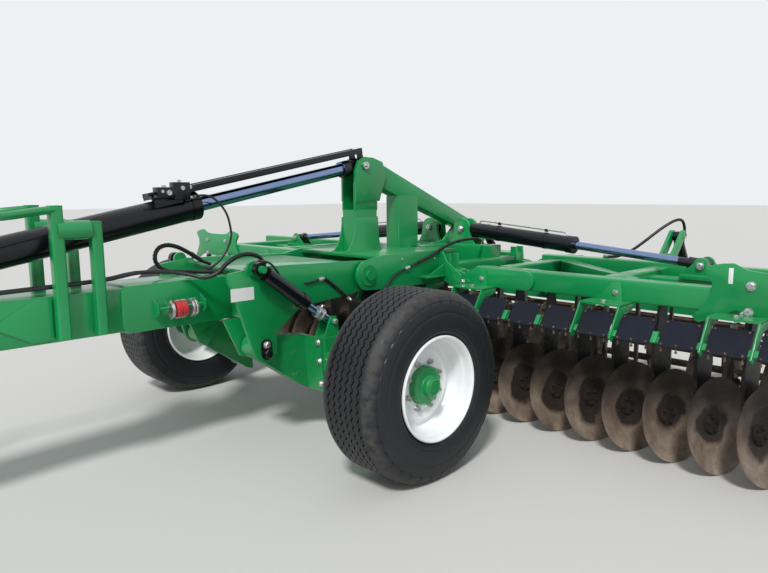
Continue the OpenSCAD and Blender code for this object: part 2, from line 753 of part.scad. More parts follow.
module roller_barrel_centre() { color(black) placed() roller_barrel(0); }
module roller_barrel_left() { color(black) placed() roller_barrel(1800); }
module roller_barrel_right() { color(black) placed() mirror([1, 0, 0]) roller_barrel(1800); }
module roller_rod_centre() { color(steel) placed() roller_rod(0); }
module roller_rod_left() { color(steel) placed() roller_rod(1800); }
module roller_rod_right() { color(steel) placed() mirror([1, 0, 0]) roller_rod(1800); }

drawbar();
hitch();
jack_sleeve();
jack_leg();
chassis();
side_pins();
wing_stands();
axle();
tyre_left();
rim_left();
hub_left();
tyre_right();
rim_right();
hub_right();
lift_barrels();
lift_rods();
main_barrel();
main_rod();
lock_bar();
tower();
centre_frame();
centre_shields();
centre_legs();
centre_discs();
wing_frame_left();
wing_plate_left();
shields_left();
legs_left();
discs_left();
wing_frame_right();
wing_plate_right();
shields_right();
legs_right();
discs_right();
wing_barrel_left();
wing_rod_left();
wing_barrel_right();
wing_rod_right();
roller_arms_centre();
roller_centre();
roller_barrel_centre();
roller_rod_centre();
roller_arms_left();
roller_left();
roller_barrel_left();
roller_rod_left();
roller_arms_right();
roller_right();
roller_barrel_right();
roller_rod_right();
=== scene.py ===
# Trailed folding disc harrow, spread out on its wheels and jack: hoses, tyres, discs, fasteners and finishes
import math
import random

import bmesh
import bpy
from mathutils import Matrix, Vector


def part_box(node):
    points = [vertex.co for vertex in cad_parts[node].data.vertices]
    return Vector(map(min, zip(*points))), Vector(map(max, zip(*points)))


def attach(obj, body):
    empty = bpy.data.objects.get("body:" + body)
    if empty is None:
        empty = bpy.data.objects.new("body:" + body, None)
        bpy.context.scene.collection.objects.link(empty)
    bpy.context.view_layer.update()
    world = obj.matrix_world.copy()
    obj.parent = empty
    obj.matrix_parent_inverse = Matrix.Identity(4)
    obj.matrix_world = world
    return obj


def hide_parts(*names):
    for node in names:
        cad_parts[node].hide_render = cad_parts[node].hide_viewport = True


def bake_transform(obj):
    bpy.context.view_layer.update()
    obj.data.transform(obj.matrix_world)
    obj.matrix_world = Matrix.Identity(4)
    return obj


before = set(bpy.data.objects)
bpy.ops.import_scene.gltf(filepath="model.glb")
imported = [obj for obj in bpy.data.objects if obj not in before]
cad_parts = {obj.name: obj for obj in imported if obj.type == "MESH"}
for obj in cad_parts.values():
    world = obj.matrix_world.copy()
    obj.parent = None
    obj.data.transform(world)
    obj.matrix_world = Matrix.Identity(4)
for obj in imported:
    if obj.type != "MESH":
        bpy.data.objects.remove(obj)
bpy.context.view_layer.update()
print("frame loaded:", len(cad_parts), "nodes")

tyreLow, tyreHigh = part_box("tyre_left")
axleY = (tyreLow.y + tyreHigh.y) / 2    # places along Y are written from the wheel axle, in millimetres
wheelRadius = (tyreHigh.z - tyreLow.z) / 2
wheelX = (tyreLow.x + tyreHigh.x) / 2
mirrorX = Matrix.Scale(-1, 4, (1, 0, 0))
dice = random.Random(7)


def at(x, y, z):
    # millimetres from the axle's middle and the ground, to metres in the frame
    return Vector((x / 1000, y / 1000 + axleY, z / 1000))


# the model's pins in millimetres; those of the rams are given on the left
pins = {
    "tower": (0, 770, 1830), "mainBase": (0, -2800, 1114), "tilt": (450, 420, 1055), "arm": (430, -420, 670),
    "liftTop": (520, -500, 1180), "liftEye": (520, 24, 800), "wingBase": (185, 1880, 1310),
    "wingEye": (2190, 1880, 1130),
}


def linearColour(text):
    # sRGB hex to the linear values that shaders take
    parts = [int(text[i:i + 2], 16) / 255 for i in (1, 3, 5)]
    return tuple(p / 12.92 if p <= 0.04045 else ((p + 0.055) / 1.055) ** 2.4 for p in parts) + (1.0,)


def addNode(tree, kind, links=None, inputs=None, **settings):
    # settings are node attributes, inputs are socket values, links are sockets fed by another node's output
    node = tree.nodes.new("ShaderNode" + kind)
    for key, value in settings.items():
        setattr(node, key, value)
    for socket, value in (inputs or {}).items():
        node.inputs[socket].default_value = value
    for socket, (source, output) in (links or {}).items():
        tree.links.new(source.outputs[output], node.inputs[socket])
    return node


def between(low, high, start=0.0, end=1.0):
    # input values that carry low..high to start..end
    return {"From Min": low, "From Max": high, "To Min": start, "To Max": end}


def setRamp(node, stops):
    # stops are (place, hex) pairs; the first two places already exist on a new ramp
    ramp = node.color_ramp
    while len(ramp.elements) < len(stops):
        ramp.elements.new(0.5)
    for element, (place, colour) in zip(ramp.elements, stops):
        element.position = place
        element.color = linearColour(colour)
    return node


cameraSet = {
    "place": (3773, -2675, 1617),
    "yaw": 45.39,
    "pitch": -8.08,
    "roll": -0.45,
    "lens": 30.68,
}

stageSet = {
    "floorSize": 160,
    "floorColour": "#CFCDC8",
    "skyShown": "#EEF1F3",
    "skyLight": "#E6ECF4",
    "skyStrength": 0.62,
    "sunTurn": (43, 0, 33),
    "sunStrength": 2.5,
    "sunSize": 9,
}


def addCamera(s):
    data = bpy.data.cameras.new("camera")
    data.lens = s["lens"]
    data.sensor_width = 36
    data.sensor_fit = "HORIZONTAL"
    data.clip_end = 200
    cam = bpy.data.objects.new("camera", data)
    bpy.context.collection.objects.link(cam)
    turn = Matrix.Rotation(math.radians(s["yaw"]), 4, "Z")
    tip = Matrix.Rotation(math.radians(90 + s["pitch"]), 4, "X")
    lean = Matrix.Rotation(math.radians(s["roll"]), 4, "Z")
    cam.matrix_world = Matrix.Translation(at(*s["place"])) @ turn @ tip @ lean
    bpy.context.scene.camera = cam


def addStage(s):
    mesh = bpy.data.meshes.new("floor")
    bm = bmesh.new()
    bmesh.ops.create_grid(bm, x_segments=1, y_segments=1, size=s["floorSize"] / 2)
    bm.to_mesh(mesh)
    bm.free()
    floor = bpy.data.objects.new("floor", mesh)
    bpy.context.collection.objects.link(floor)
    paint = bpy.data.materials.new("paleFloor")
    paint.use_nodes = True
    shader = paint.node_tree.nodes["Principled BSDF"]
    shader.inputs["Base Color"].default_value = linearColour(s["floorColour"])
    shader.inputs["Roughness"].default_value = 0.9
    mesh.materials.append(paint)

    # camera, glossy and transmission rays see a pale backdrop, all others the plain light of the sky
    world = bpy.data.worlds.new("world")
    bpy.context.scene.world = world
    world.use_nodes = True
    tree = world.node_tree
    tree.nodes.clear()
    rays = addNode(tree, "LightPath")
    seen = addNode(tree, "Math", {0: (rays, "Is Camera Ray"), 1: (rays, "Is Glossy Ray")},
                   operation="MAXIMUM")
    seen = addNode(tree, "Math", {0: (seen, 0), 1: (rays, "Is Transmission Ray")},
                   operation="MAXIMUM")
    light = addNode(tree, "Background",
                    inputs={"Color": linearColour(s["skyLight"]), "Strength": s["skyStrength"]})
    shown = addNode(tree, "Background", inputs={"Color": linearColour(s["skyShown"]), "Strength": 1.0})
    mixed = addNode(tree, "MixShader",
                    {0: (seen, 0), 1: (light, "Background"), 2: (shown, "Background")})
    addNode(tree, "OutputWorld", {"Surface": (mixed, "Shader")})

    sunData = bpy.data.lights.new("sun", "SUN")
    sunData.energy = s["sunStrength"]
    sunData.angle = math.radians(s["sunSize"])
    sun = bpy.data.objects.new("sun", sunData)
    sun.rotation_euler = [math.radians(a) for a in s["sunTurn"]]
    bpy.context.collection.objects.link(sun)
    bpy.context.scene.view_settings.view_transform = "Standard"


addCamera(cameraSet)
addStage(stageSet)
print("camera, floor and light placed")


def newMaterial(name):
    material = bpy.data.materials.new(name)
    material.use_nodes = True
    material.node_tree.nodes.clear()
    return material, material.node_tree


def closeMaterial(tree, links, inputs):
    shader = addNode(tree, "BsdfPrincipled", links, inputs)
    addNode(tree, "OutputMaterial", {"Surface": (shader, "BSDF")})


def sprayedEnamel(name, s):
    # sprayed two-pack enamel: a deep gloss with slight orange peel, dust on what faces up and soil spray low
    material, tree = newMaterial(name)
    place = addNode(tree, "TexCoord")
    here = {"Vector": (place, "Object")}
    drift = addNode(tree, "TexNoise", here, {"Scale": 1.7, "Detail": 3.0})
    tone = setRamp(addNode(tree, "ValToRGB", {"Fac": (drift, "Fac")}),
                   [(0.3, s["deep"]), (0.7, s["bright"])])

    # dust settles in patches on the upward faces
    normal = addNode(tree, "SeparateXYZ", {0: (place, "Normal")})
    patch = addNode(tree, "TexNoise", here,
                    {"Scale": 9.0, "Detail": 6.0, "Roughness": 0.7})
    lying = addNode(tree, "MapRange", {"Value": (normal, "Z")},
                    between(0.3, 1.0, 0.15, 1.0))
    dust = addNode(tree, "Math", {0: (patch, "Fac"), 1: (lying, "Result")}, operation="MULTIPLY")
    dustShare = addNode(tree, "MapRange", {"Value": (dust, 0)},
                        between(0.25, 0.8, 0.0, s["dust"]))
    dusty = addNode(tree, "Mix", {0: (dustShare, "Result"), 6: (tone, "Color")},
                    {7: linearColour("#9A9484")}, data_type="RGBA")

    # splashed soil fades out with height
    height = addNode(tree, "SeparateXYZ", {0: (place, "Object")})
    low = addNode(tree, "MapRange", {"Value": (height, "Z")},
                  between(0.2, 0.85, 1.0, 0.0))
    splash = addNode(tree, "TexNoise", here,
                     {"Scale": 38.0, "Detail": 7.0, "Roughness": 0.75})
    spots = addNode(tree, "MapRange", {"Value": (splash, "Fac")},
                    between(0.5, 0.68, 0.0, s["splash"]))
    soilShare = addNode(tree, "Math", {0: (spots, "Result"), 1: (low, "Result")},
                        operation="MULTIPLY")
    soiled = addNode(tree, "Mix", {0: (soilShare, 0), 6: (dusty, 2)},
                     {7: linearColour("#6B5744")}, data_type="RGBA")

    dull = addNode(tree, "Math", {0: (dustShare, "Result"), 1: (soilShare, 0)}, operation="ADD")
    rough = addNode(tree, "MapRange", {"Value": (dull, 0)},
                    between(0.0, 0.7, s["rough"], 0.75))
    # real orange peel is 1-2 mm wide, drawn at 18 mm to show
    peel = addNode(tree, "TexNoise", here, {"Scale": 55.0, "Detail": 2.0})
    bump = addNode(tree, "Bump", {"Height": (peel, "Fac")}, {"Strength": 0.05, "Distance": 0.002})
    closeMaterial(tree, {"Base Color": (soiled, 2), "Roughness": (rough, "Result"),
                         "Normal": (bump, "Normal")},
                  {"Coat Weight": s["coat"], "Coat Roughness": 0.06, "IOR": 1.5,
                   "Specular IOR Level": s.get("shine", 0.5)})
    return material


enamelLooks = {
    "greenEnamel": {"deep": "#058243", "bright": "#0B9650", "dust": 0.16, "splash": 0.7, "rough": 0.32,
                    "coat": 0.35},
    "blackEnamel": {"deep": "#06080C", "bright": "#0B0E15", "dust": 0.07, "splash": 0.5, "rough": 0.26,
                    "coat": 0.18,
                    "shine": 0.3},
    # the shields' blue tint over black paint is a painted reflection of the sky
    "shieldEnamel": {"deep": "#080D1A", "bright": "#0D1426", "dust": 0.04, "splash": 0.5, "rough": 0.42,
                     "coat": 0.04,
                     "shine": 0.22},
    "legEnamel": {"deep": "#101113", "bright": "#1B1C1F", "dust": 0.35, "splash": 0.9, "rough": 0.42,
                  "coat": 0.1},
    "whiteEnamel": {"deep": "#E9ECEC", "bright": "#F4F5F4", "dust": 0.06, "splash": 0.12, "rough": 0.3,
                    "coat": 0.4},
    "redNylon": {"deep": "#B3262B", "bright": "#C93238", "dust": 0.2, "splash": 0.2, "rough": 0.45,
                 "coat": 0.0},
    "labelVinyl": {"deep": "#E3E4E2", "bright": "#ECEDEB", "dust": 0.1, "splash": 0.2, "rough": 0.35,
                   "coat": 0.2},
}


def chromePlate(name, axis="Z", eyeFrom=9.0):
    # hard chrome on ground bar: a mirror under a cloudy oil film, its blue tint a painted reflection of the
    # sky; the rod's eye, past eyeFrom metres from the middle along the axis, is painted black
    material, tree = newMaterial(name)
    place = addNode(tree, "TexCoord")
    here = {"Vector": (place, "Object")}
    film = addNode(tree, "TexNoise", here, {"Scale": 14.0, "Detail": 4.0})
    rough = addNode(tree, "MapRange", {"Value": (film, "Fac")},
                    between(0.3, 0.8, 0.06, 0.2))
    split = addNode(tree, "SeparateXYZ", {0: (place, "Object")})
    reach = addNode(tree, "Math", {0: (split, axis)}, operation="ABSOLUTE")
    eye = addNode(tree, "MapRange", {"Value": (reach, 0)},
                  between(eyeFrom, eyeFrom + 0.001, 0.0, 1.0))
    # the blue base colour is a painted reflection of the sky on the bare chrome; the black is the eye's paint
    tone = addNode(tree, "Mix", {0: (eye, "Result")},
                   {6: linearColour("#8295BC"), 7: linearColour("#0A0C11")}, data_type="RGBA")
    bare = addNode(tree, "Math", {1: (eye, "Result")}, {0: 1.0}, operation="SUBTRACT")
    dull = addNode(tree, "Math", {0: (rough, "Result"), 1: (eye, "Result")}, operation="MAXIMUM")
    soft = addNode(tree, "Math", {0: (dull, 0)}, {1: 0.34}, operation="MINIMUM")
    closeMaterial(tree, {"Base Color": (tone, 2), "Metallic": (bare, 0), "Roughness": (soft, 0)}, {})
    return material


def zincPlate(name, colour, stain, rough):
    # zinc plate on fasteners: pale grey metal, cloudy and a little rough, with soil in its corners
    material, tree = newMaterial(name)
    place = addNode(tree, "TexCoord")
    here = {"Vector": (place, "Object")}
    cloud = addNode(tree, "TexNoise", here, {"Scale": 60.0, "Detail": 5.0})
    tone = setRamp(addNode(tree, "ValToRGB", {"Fac": (cloud, "Fac")}),
                   [(0.3, stain), (0.52, colour)])
    bump = addNode(tree, "Bump", {"Height": (cloud, "Fac")}, {"Strength": 0.12, "Distance": 0.001})
    closeMaterial(tree, {"Base Color": (tone, "Color"), "Normal": (bump, "Normal")},
                  {"Metallic": 0.85, "Roughness": rough})
    return material


def wornDiscSteelPaintedShade():
    # boron steel run in abrasive soil: a brown film over scoured metal, mud round the hub, arcs from the
    # soil, and painted shadow over the upper halves
    # the piece's own UV map holds turns round the disc in U and the share of its radius in V
    material, tree = newMaterial("wornDiscSteelPaintedShade")
    place = addNode(tree, "TexCoord")
    here = {"Vector": (place, "Object")}
    cloud = addNode(tree, "TexNoise", here,
                    {"Scale": 6.0, "Detail": 8.0, "Roughness": 0.65})
    film = setRamp(addNode(tree, "ValToRGB", {"Fac": (cloud, "Fac")}),
                   [(0.32, "#5C4A3D"), (0.47, "#806D5E"), (0.6, "#9B8A7A"), (0.75, "#B4A798")])

    # scratches follow the turning disc: about 4 mm apart, drawn wide enough to show
    turned = addNode(tree, "Mapping", {"Vector": (place, "UV")}, {"Scale": (5.0, 70.0, 1.0)})
    arcs = addNode(tree, "TexNoise", {"Vector": (turned, "Vector")}, {"Scale": 1.0, "Detail": 4.0})
    arcShare = addNode(tree, "MapRange", {"Value": (arcs, "Fac")},
                       between(0.45, 0.7, 0.0, 0.45))
    scratched = addNode(tree, "Mix", {0: (arcShare, "Result"), 6: (film, "Color")},
                        {7: linearColour("#A79E92")}, data_type="RGBA")

    # damp soil lies darker inside half the radius, with a ragged edge that differs from disc to disc
    radial = addNode(tree, "SeparateXYZ", {0: (place, "UV")})
    blotch = addNode(tree, "TexNoise", here,
                     {"Scale": 3.0, "Detail": 5.0, "Roughness": 0.6})
    edge = addNode(tree, "Math", {0: (blotch, "Fac"), 1: (radial, "Y")}, operation="SUBTRACT")
    round = addNode(tree, "MapRange", {"Value": (edge, 0)},
                    between(-0.08, 0.03, 0.0, 0.94))
    # painted shadow: the upper halves are darker, 0.22 to 0.44 m above the ground, where the frame's shade
    # falls on them
    level = addNode(tree, "SeparateXYZ", {0: (place, "Object")})
    upper = addNode(tree, "MapRange", {"Value": (level, "Z")},
                    between(0.22, 0.44, 0.0, 0.88))
    # the mud inside half the radius and the painted shadow on the upper halves share one dark colour
    mudAndShadeShare = addNode(tree, "Math", {0: (round, "Result"), 1: (upper, "Result")}, operation="MAXIMUM")
    mudAndShadeTone = addNode(tree, "Mix", {0: (mudAndShadeShare, 0), 6: (scratched, 2)},
                  {7: linearColour("#211B17")}, data_type="RGBA")
    grit = addNode(tree, "TexNoise", here,
                   {"Scale": 110.0, "Detail": 6.0, "Roughness": 0.8})
    clod = addNode(tree, "MapRange", {"Value": (grit, "Fac")},
                   between(0.54, 0.66, 0.0, 0.7))
    mixed = addNode(tree, "Mix", {0: (clod, "Result"), 6: (mudAndShadeTone, 2)},
                    {7: linearColour("#5B4637")}, data_type="RGBA")
    metal = addNode(tree, "MapRange", {"Value": (arcShare, "Result")},
                    between(0.0, 0.45, 0.05, 0.6))
    bump = addNode(tree, "Bump", {"Height": (grit, "Fac")}, {"Strength": 0.3, "Distance": 0.003})
    closeMaterial(tree, {"Base Color": (mixed, 2), "Metallic": (metal, "Result"), "Normal": (bump, "Normal")},
                  {"Roughness": 0.52})
    return material


def soiledSteel(name, tones):
    # plain steel under soil: dry on the rollers and the bolts' hanging ends, damp and dark on the disc hubs
    material, tree = newMaterial(name)
    place = addNode(tree, "TexCoord")
    here = {"Vector": (place, "Object")}
    cloud = addNode(tree, "TexNoise", here,
                    {"Scale": 8.0, "Detail": 9.0, "Roughness": 0.7})
    tone = setRamp(addNode(tree, "ValToRGB", {"Fac": (cloud, "Fac")}),
                   list(zip((0.35, 0.55, 0.75), tones)))
    bump = addNode(tree, "Bump", {"Height": (cloud, "Fac")}, {"Strength": 0.4, "Distance": 0.004})
    closeMaterial(tree, {"Base Color": (tone, "Color"), "Normal": (bump, "Normal")},
                  {"Roughness": 0.75, "Metallic": 0.25})
    return material


def tyreRubber(s):
    # vulcanised rubber: blue-black tread and sidewall, a grey-brown scuffed shoulder
    material, tree = newMaterial("tyreRubber")
    place = addNode(tree, "TexCoord")
    here = {"Vector": (place, "Object")}
    fromHub = addNode(tree, "Mapping", here, {"Location": (0, -axleY, -wheelRadius)})
    parts = addNode(tree, "SeparateXYZ", {0: (fromHub, "Vector")})
    flat = addNode(tree, "CombineXYZ", {"X": (parts, "Y"), "Y": (parts, "Z")})
    radius = addNode(tree, "VectorMath", {0: (flat, 0)}, operation="LENGTH")
    side = addNode(tree, "Math", {0: (parts, "X")}, operation="ABSOLUTE")
    off = addNode(tree, "Math", {0: (side, 0)}, {1: wheelX}, operation="SUBTRACT")
    width = addNode(tree, "Math", {0: (off, 0)}, operation="ABSOLUTE")

    # the shoulder is the band that is both far out and wide of the middle
    ragged = addNode(tree, "TexNoise", here,
                     {"Scale": 26.0, "Detail": 6.0, "Roughness": 0.75})
    high = addNode(tree, "MapRange", {"Value": (radius, "Value")},
                   between(s["scuffLow"], s["scuffLow"] + 0.03))
    wide = addNode(tree, "MapRange", {"Value": (width, 0)},
                   between(s["scuffIn"], s["scuffIn"] + 0.012))
    band = addNode(tree, "Math", {0: (high, "Result"), 1: (wide, "Result")}, operation="MULTIPLY")
    torn = addNode(tree, "MapRange", {"Value": (ragged, "Fac")},
                   between(0.38, 0.6, 0.05, 0.95))
    scuff = addNode(tree, "Math", {0: (band, 0), 1: (torn, "Result")}, operation="MULTIPLY")

    drift = addNode(tree, "TexNoise", here,
                    {"Scale": 5.0, "Detail": 8.0, "Roughness": 0.7})
    tone = setRamp(addNode(tree, "ValToRGB", {"Fac": (drift, "Fac")}),
                   [(0.35, "#0A0B0F"), (0.6, "#121419"), (0.78, "#212328")])
    worn = addNode(tree, "Mix", {0: (scuff, 0), 6: (tone, "Color")},
                   {7: linearColour("#454341")}, data_type="RGBA")
    grain = addNode(tree, "TexNoise", here, {"Scale": 150.0, "Detail": 3.0})
    bump = addNode(tree, "Bump", {"Height": (grain, "Fac")}, {"Strength": 0.18, "Distance": 0.002})
    rough = addNode(tree, "MapRange", {"Value": (scuff, 0)}, between(0.0, 1.0, 0.5, 0.85))
    closeMaterial(tree, {"Base Color": (worn, 2), "Normal": (bump, "Normal"), "Roughness": (rough, "Result")},
                  {"IOR": 1.52})
    return material


def hoseRubber():
    # synthetic rubber cover of hydraulic hose: matt black, grained, with a little dust
    material, tree = newMaterial("hoseRubber")
    place = addNode(tree, "TexCoord")
    here = {"Vector": (place, "Object")}
    cloud = addNode(tree, "TexNoise", here, {"Scale": 30.0, "Detail": 6.0})
    tone = setRamp(addNode(tree, "ValToRGB", {"Fac": (cloud, "Fac")}),
                   [(0.4, "#0C0D0F"), (0.62, "#1A1B1E"), (0.8, "#37363A")])
    grain = addNode(tree, "TexNoise", here, {"Scale": 420.0, "Detail": 2.0})
    bump = addNode(tree, "Bump", {"Height": (grain, "Fac")}, {"Strength": 0.2, "Distance": 0.001})
    closeMaterial(tree, {"Base Color": (tone, "Color"), "Normal": (bump, "Normal")},
                  {"Roughness": 0.46, "IOR": 1.52})
    return material


finishes = {name: sprayedEnamel(name, look) for name, look in enamelLooks.items()}
finishes["chromePlate"] = chromePlate("chromePlate")
eyeReach = {"mainRod": 0.178, "wingRod": 0.165}    # length of each rod's black eye, in metres
finishes["mainRodChrome"] = chromePlate("mainRodChrome", "Y",
                                        axleY + pins["tower"][1] / 1000 - eyeReach["mainRod"])
finishes["wingRodChrome"] = chromePlate("wingRodChrome", "X", pins["wingEye"][0] / 1000 - eyeReach["wingRod"])
finishes["zincPlate"] = zincPlate("zincPlate", "#C9CBCC", "#8D867B", 0.36)
finishes["wornDiscSteelPaintedShade"] = wornDiscSteelPaintedShade()
finishes["soiledSteel"] = soiledSteel("soiledSteel", ("#3A2F27", "#65533F", "#8A7B68"))
finishes["dampSteel"] = soiledSteel("dampSteel", ("#17120F", "#251E19", "#453A31"))
finishes["tyreRubber"] = tyreRubber({"scuffLow": 0.497, "scuffIn": 0.132})
finishes["hoseRubber"] = hoseRubber()

print("materials made")


def lineUp(place, direction, roll=0.0):
    # carries a shape made along Z from the origin to a place, with Z along the direction
    turn = Vector(direction).to_track_quat("Z", "Y").to_matrix().to_4x4()
    return Matrix.Translation(place) @ turn @ Matrix.Rotation(roll, 4, "Z")


def addCone(bm, sides, radius, endRadius, depth, where):
    bmesh.ops.create_cone(bm, cap_ends=True, cap_tris=False, segments=sides, radius1=radius,
                          radius2=endRadius, depth=depth, matrix=where)


def addRod(bm, a, b, radius, endRadius=None, sides=24):
    a, b = Vector(a), Vector(b)
    addCone(bm, sides, radius, radius if endRadius is None else endRadius, (b - a).length,
            lineUp((a + b) / 2, b - a))


def addBlock(bm, low, high, round=0.0):
    low, high = Vector(low), Vector(high)
    size = Matrix.Diagonal([abs(v) for v in (high - low)] + [1])
    made = bmesh.ops.create_cube(bm, size=1, matrix=Matrix.Translation((low + high) / 2) @ size)
    if round:
        edges = list({e for v in made["verts"] for e in v.link_edges})
        bmesh.ops.bevel(bm, geom=edges, offset=round, segments=2, affect="EDGES", profile=0.5, material=-1)


def addPlate(bm, outline, where, thickness, round=0.0):
    # outline in the plate's own X and Y, grown along its Z by the thickness
    face = bm.faces.new([bm.verts.new(where @ Vector((x, y, 0))) for x, y in outline])
    grown = bmesh.ops.extrude_face_region(bm, geom=[face])
    rise = where.to_3x3() @ Vector((0, 0, thickness))
    top = [v for v in grown["geom"] if isinstance(v, bmesh.types.BMVert)]
    bmesh.ops.translate(bm, vec=rise, verts=top)
    if round:
        faces = [face] + [f for f in grown["geom"] if isinstance(f, bmesh.types.BMFace)]
        edges = list({e for f in faces if f.is_valid for e in f.edges})
        bmesh.ops.bevel(bm, geom=edges, offset=round, segments=2, affect="EDGES", profile=0.5, material=-1)


uprightYZ = Matrix(((0, 0, 1, 0), (1, 0, 0, 0), (0, 1, 0, 0), (0, 0, 0, 1)))
uprightXZ = Matrix(((1, 0, 0, 0), (0, 0, -1, 0), (0, 1, 0, 0), (0, 0, 0, 1)))


def plateYZ(bm, x, thick, outline, round=0.0018):
    # upright plate along Y from a Y-Z outline, its middle at x
    where = Matrix.Translation(at(x - thick / 2, 0, 0)) @ uprightYZ
    addPlate(bm, [(y / 1000, z / 1000) for y, z in outline], where, thick / 1000, round)


def plateXZ(bm, y, thick, outline, round=0.0018):
    # upright plate across the machine from an X-Z outline, its middle at y
    where = Matrix.Translation(at(0, y + thick / 2, 0)) @ uprightXZ
    addPlate(bm, [(x / 1000, z / 1000) for x, z in outline], where, thick / 1000, round)


def squareTube(bm, a, b, corner=14):
    # rolled square tube between two corners: its four long edges are rounded
    low, high = at(*a), at(*b)
    size = high - low
    long = max(range(3), key=lambda k: abs(size[k]))
    made = bmesh.ops.create_cube(bm, size=1, matrix=Matrix.Translation((low + high) / 2)
                                 @ Matrix.Diagonal([abs(v) for v in size] + [1]))
    edges = [e for e in {e for v in made["verts"] for e in v.link_edges}
             if abs((e.verts[0].co - e.verts[1].co)[long]) > abs(size[long]) / 2]
    bmesh.ops.bevel(bm, geom=edges, offset=corner / 1000, segments=4, affect="EDGES", profile=0.5,
                    material=-1)


def block(bm, a, b, round=0.0018):
    addBlock(bm, at(*a), at(*b), round)


def pinX(bm, p, radius, length, sides=40):
    half = Vector((length / 2000, 0, 0))
    addRod(bm, at(*p) - half, at(*p) + half, radius / 1000, sides=sides)


def pinY(bm, p, radius, length, sides=40):
    half = Vector((0, length / 2000, 0))
    addRod(bm, at(*p) - half, at(*p) + half, radius / 1000, sides=sides)


def arc(centre, radius, start, end, steps):
    turns = [math.radians(start + (end - start) * k / steps) for k in range(steps + 1)]
    return [(centre[0] + radius * math.cos(a), centre[1] + radius * math.sin(a)) for a in turns]


def flare(a, b, steps=8):
    # a quarter of an ellipse that leaves a level and ends upright
    turns = [math.pi / 2 * k / steps for k in range(steps + 1)]
    return [(a[0] + (b[0] - a[0]) * math.sin(t), a[1] + (b[1] - a[1]) * (1 - math.cos(t))) for t in turns]


def mirrored(bm):
    # adds the right-hand copy of everything made so far
    copy = bmesh.ops.duplicate(bm, geom=bm.verts[:] + bm.edges[:] + bm.faces[:])
    verts = [v for v in copy["geom"] if isinstance(v, bmesh.types.BMVert)]
    bmesh.ops.transform(bm, matrix=mirrorX, verts=verts)


def addLathe(bm, profile, where, steps=48, closed=False):
    # profile in (radius, height) pairs, spun round Z and then carried to its place
    verts = [bm.verts.new((r, 0, h)) for r, h in profile]
    pairs = list(zip(verts, verts[1:])) + ([(verts[-1], verts[0])] if closed else [])
    edges = [bm.edges.new(p) for p in pairs]
    before = set(bm.verts) - set(verts)
    bmesh.ops.spin(bm, geom=verts + edges, cent=(0, 0, 0), axis=(0, 0, 1), angle=2 * math.pi,
                   steps=steps, use_merge=True)
    spun = [v for v in bm.verts if v not in before]
    bmesh.ops.remove_doubles(bm, verts=spun, dist=1e-6)
    spun = [v for v in bm.verts if v not in before]
    bmesh.ops.transform(bm, matrix=where, verts=spun)
    return spun


def addBolt(bm, place, direction, size, tail=0.0, washer=True):
    # hexagon bolt on a surface: washer, chamfered head, and the threaded end beyond the far side
    d = Vector(direction).normalized()
    place = Vector(place)
    base = place
    if washer:
        addRod(bm, place, place + d * size * 0.16, size * 1.08, sides=20)
        base = place + d * size * 0.16
    roll = dice.uniform(0, 1)
    across = size * 0.88
    for low, high, r1, r2 in ((0.0, 0.5, across, across), (0.5, 0.64, across, across * 0.82)):
        addCone(bm, 6, r1, r2, size * (high - low), lineUp(base + d * size * (low + high) / 2, d, roll))
    if tail:
        addRod(bm, place - d * tail, place, size / 2, sides=12)


def closePiece(name, bm, finish, body, flipped=False, sharp=32):
    if flipped:
        bmesh.ops.transform(bm, matrix=mirrorX, verts=bm.verts)
    bmesh.ops.remove_doubles(bm, verts=bm.verts, dist=1e-6)
    bmesh.ops.recalc_face_normals(bm, faces=bm.faces)
    mesh = bpy.data.meshes.new(name)
    bm.to_mesh(mesh)
    bm.free()
    mesh.shade_smooth()
    mesh.set_sharp_from_angle(angle=math.radians(sharp))
    mesh.materials.append(finishes[finish])
    piece = bpy.data.objects.new(name, mesh)
    bpy.context.collection.objects.link(piece)
    if body:
        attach(piece, body)
    return piece


def smoothLine(points, steps):
    # Catmull-Rom line through the points of a route
    line = []
    for i in range(len(points) - 1):
        a, b = points[max(i - 1, 0)], points[i]
        c, d = points[i + 1], points[min(i + 2, len(points) - 1)]
        for k in range(steps):
            t = k / steps
            line.append((2 * b + (c - a) * t + (2 * a - 5 * b + 4 * c - d) * t ** 2
                         + (3 * b - a - 3 * c + d) * t ** 3) / 2)
    return line + [points[-1]]


def addTube(bm, line, radius, sides=16):
    # rings of a hose along a line, joined by bridges and closed at both ends
    rings = []
    side = None
    for i, p in enumerate(line):
        way = (line[min(i + 1, len(line) - 1)] - line[max(i - 1, 0)]).normalized()
        side = way.orthogonal() if side is None else side - way * side.dot(way)
        side.normalize()
        turn = Matrix((side, way.cross(side), way)).transposed().to_4x4()
        made = bmesh.ops.create_circle(bm, cap_ends=False, segments=sides, radius=radius,
                                       matrix=Matrix.Translation(p) @ turn)
        rings.append(list({e for v in made["verts"] for e in v.link_edges}))
    for a, b in zip(rings, rings[1:]):
        bmesh.ops.bridge_loops(bm, edges=a + b)
    for ring in (rings[0], rings[-1]):
        bmesh.ops.edgeloop_fill(bm, edges=ring)


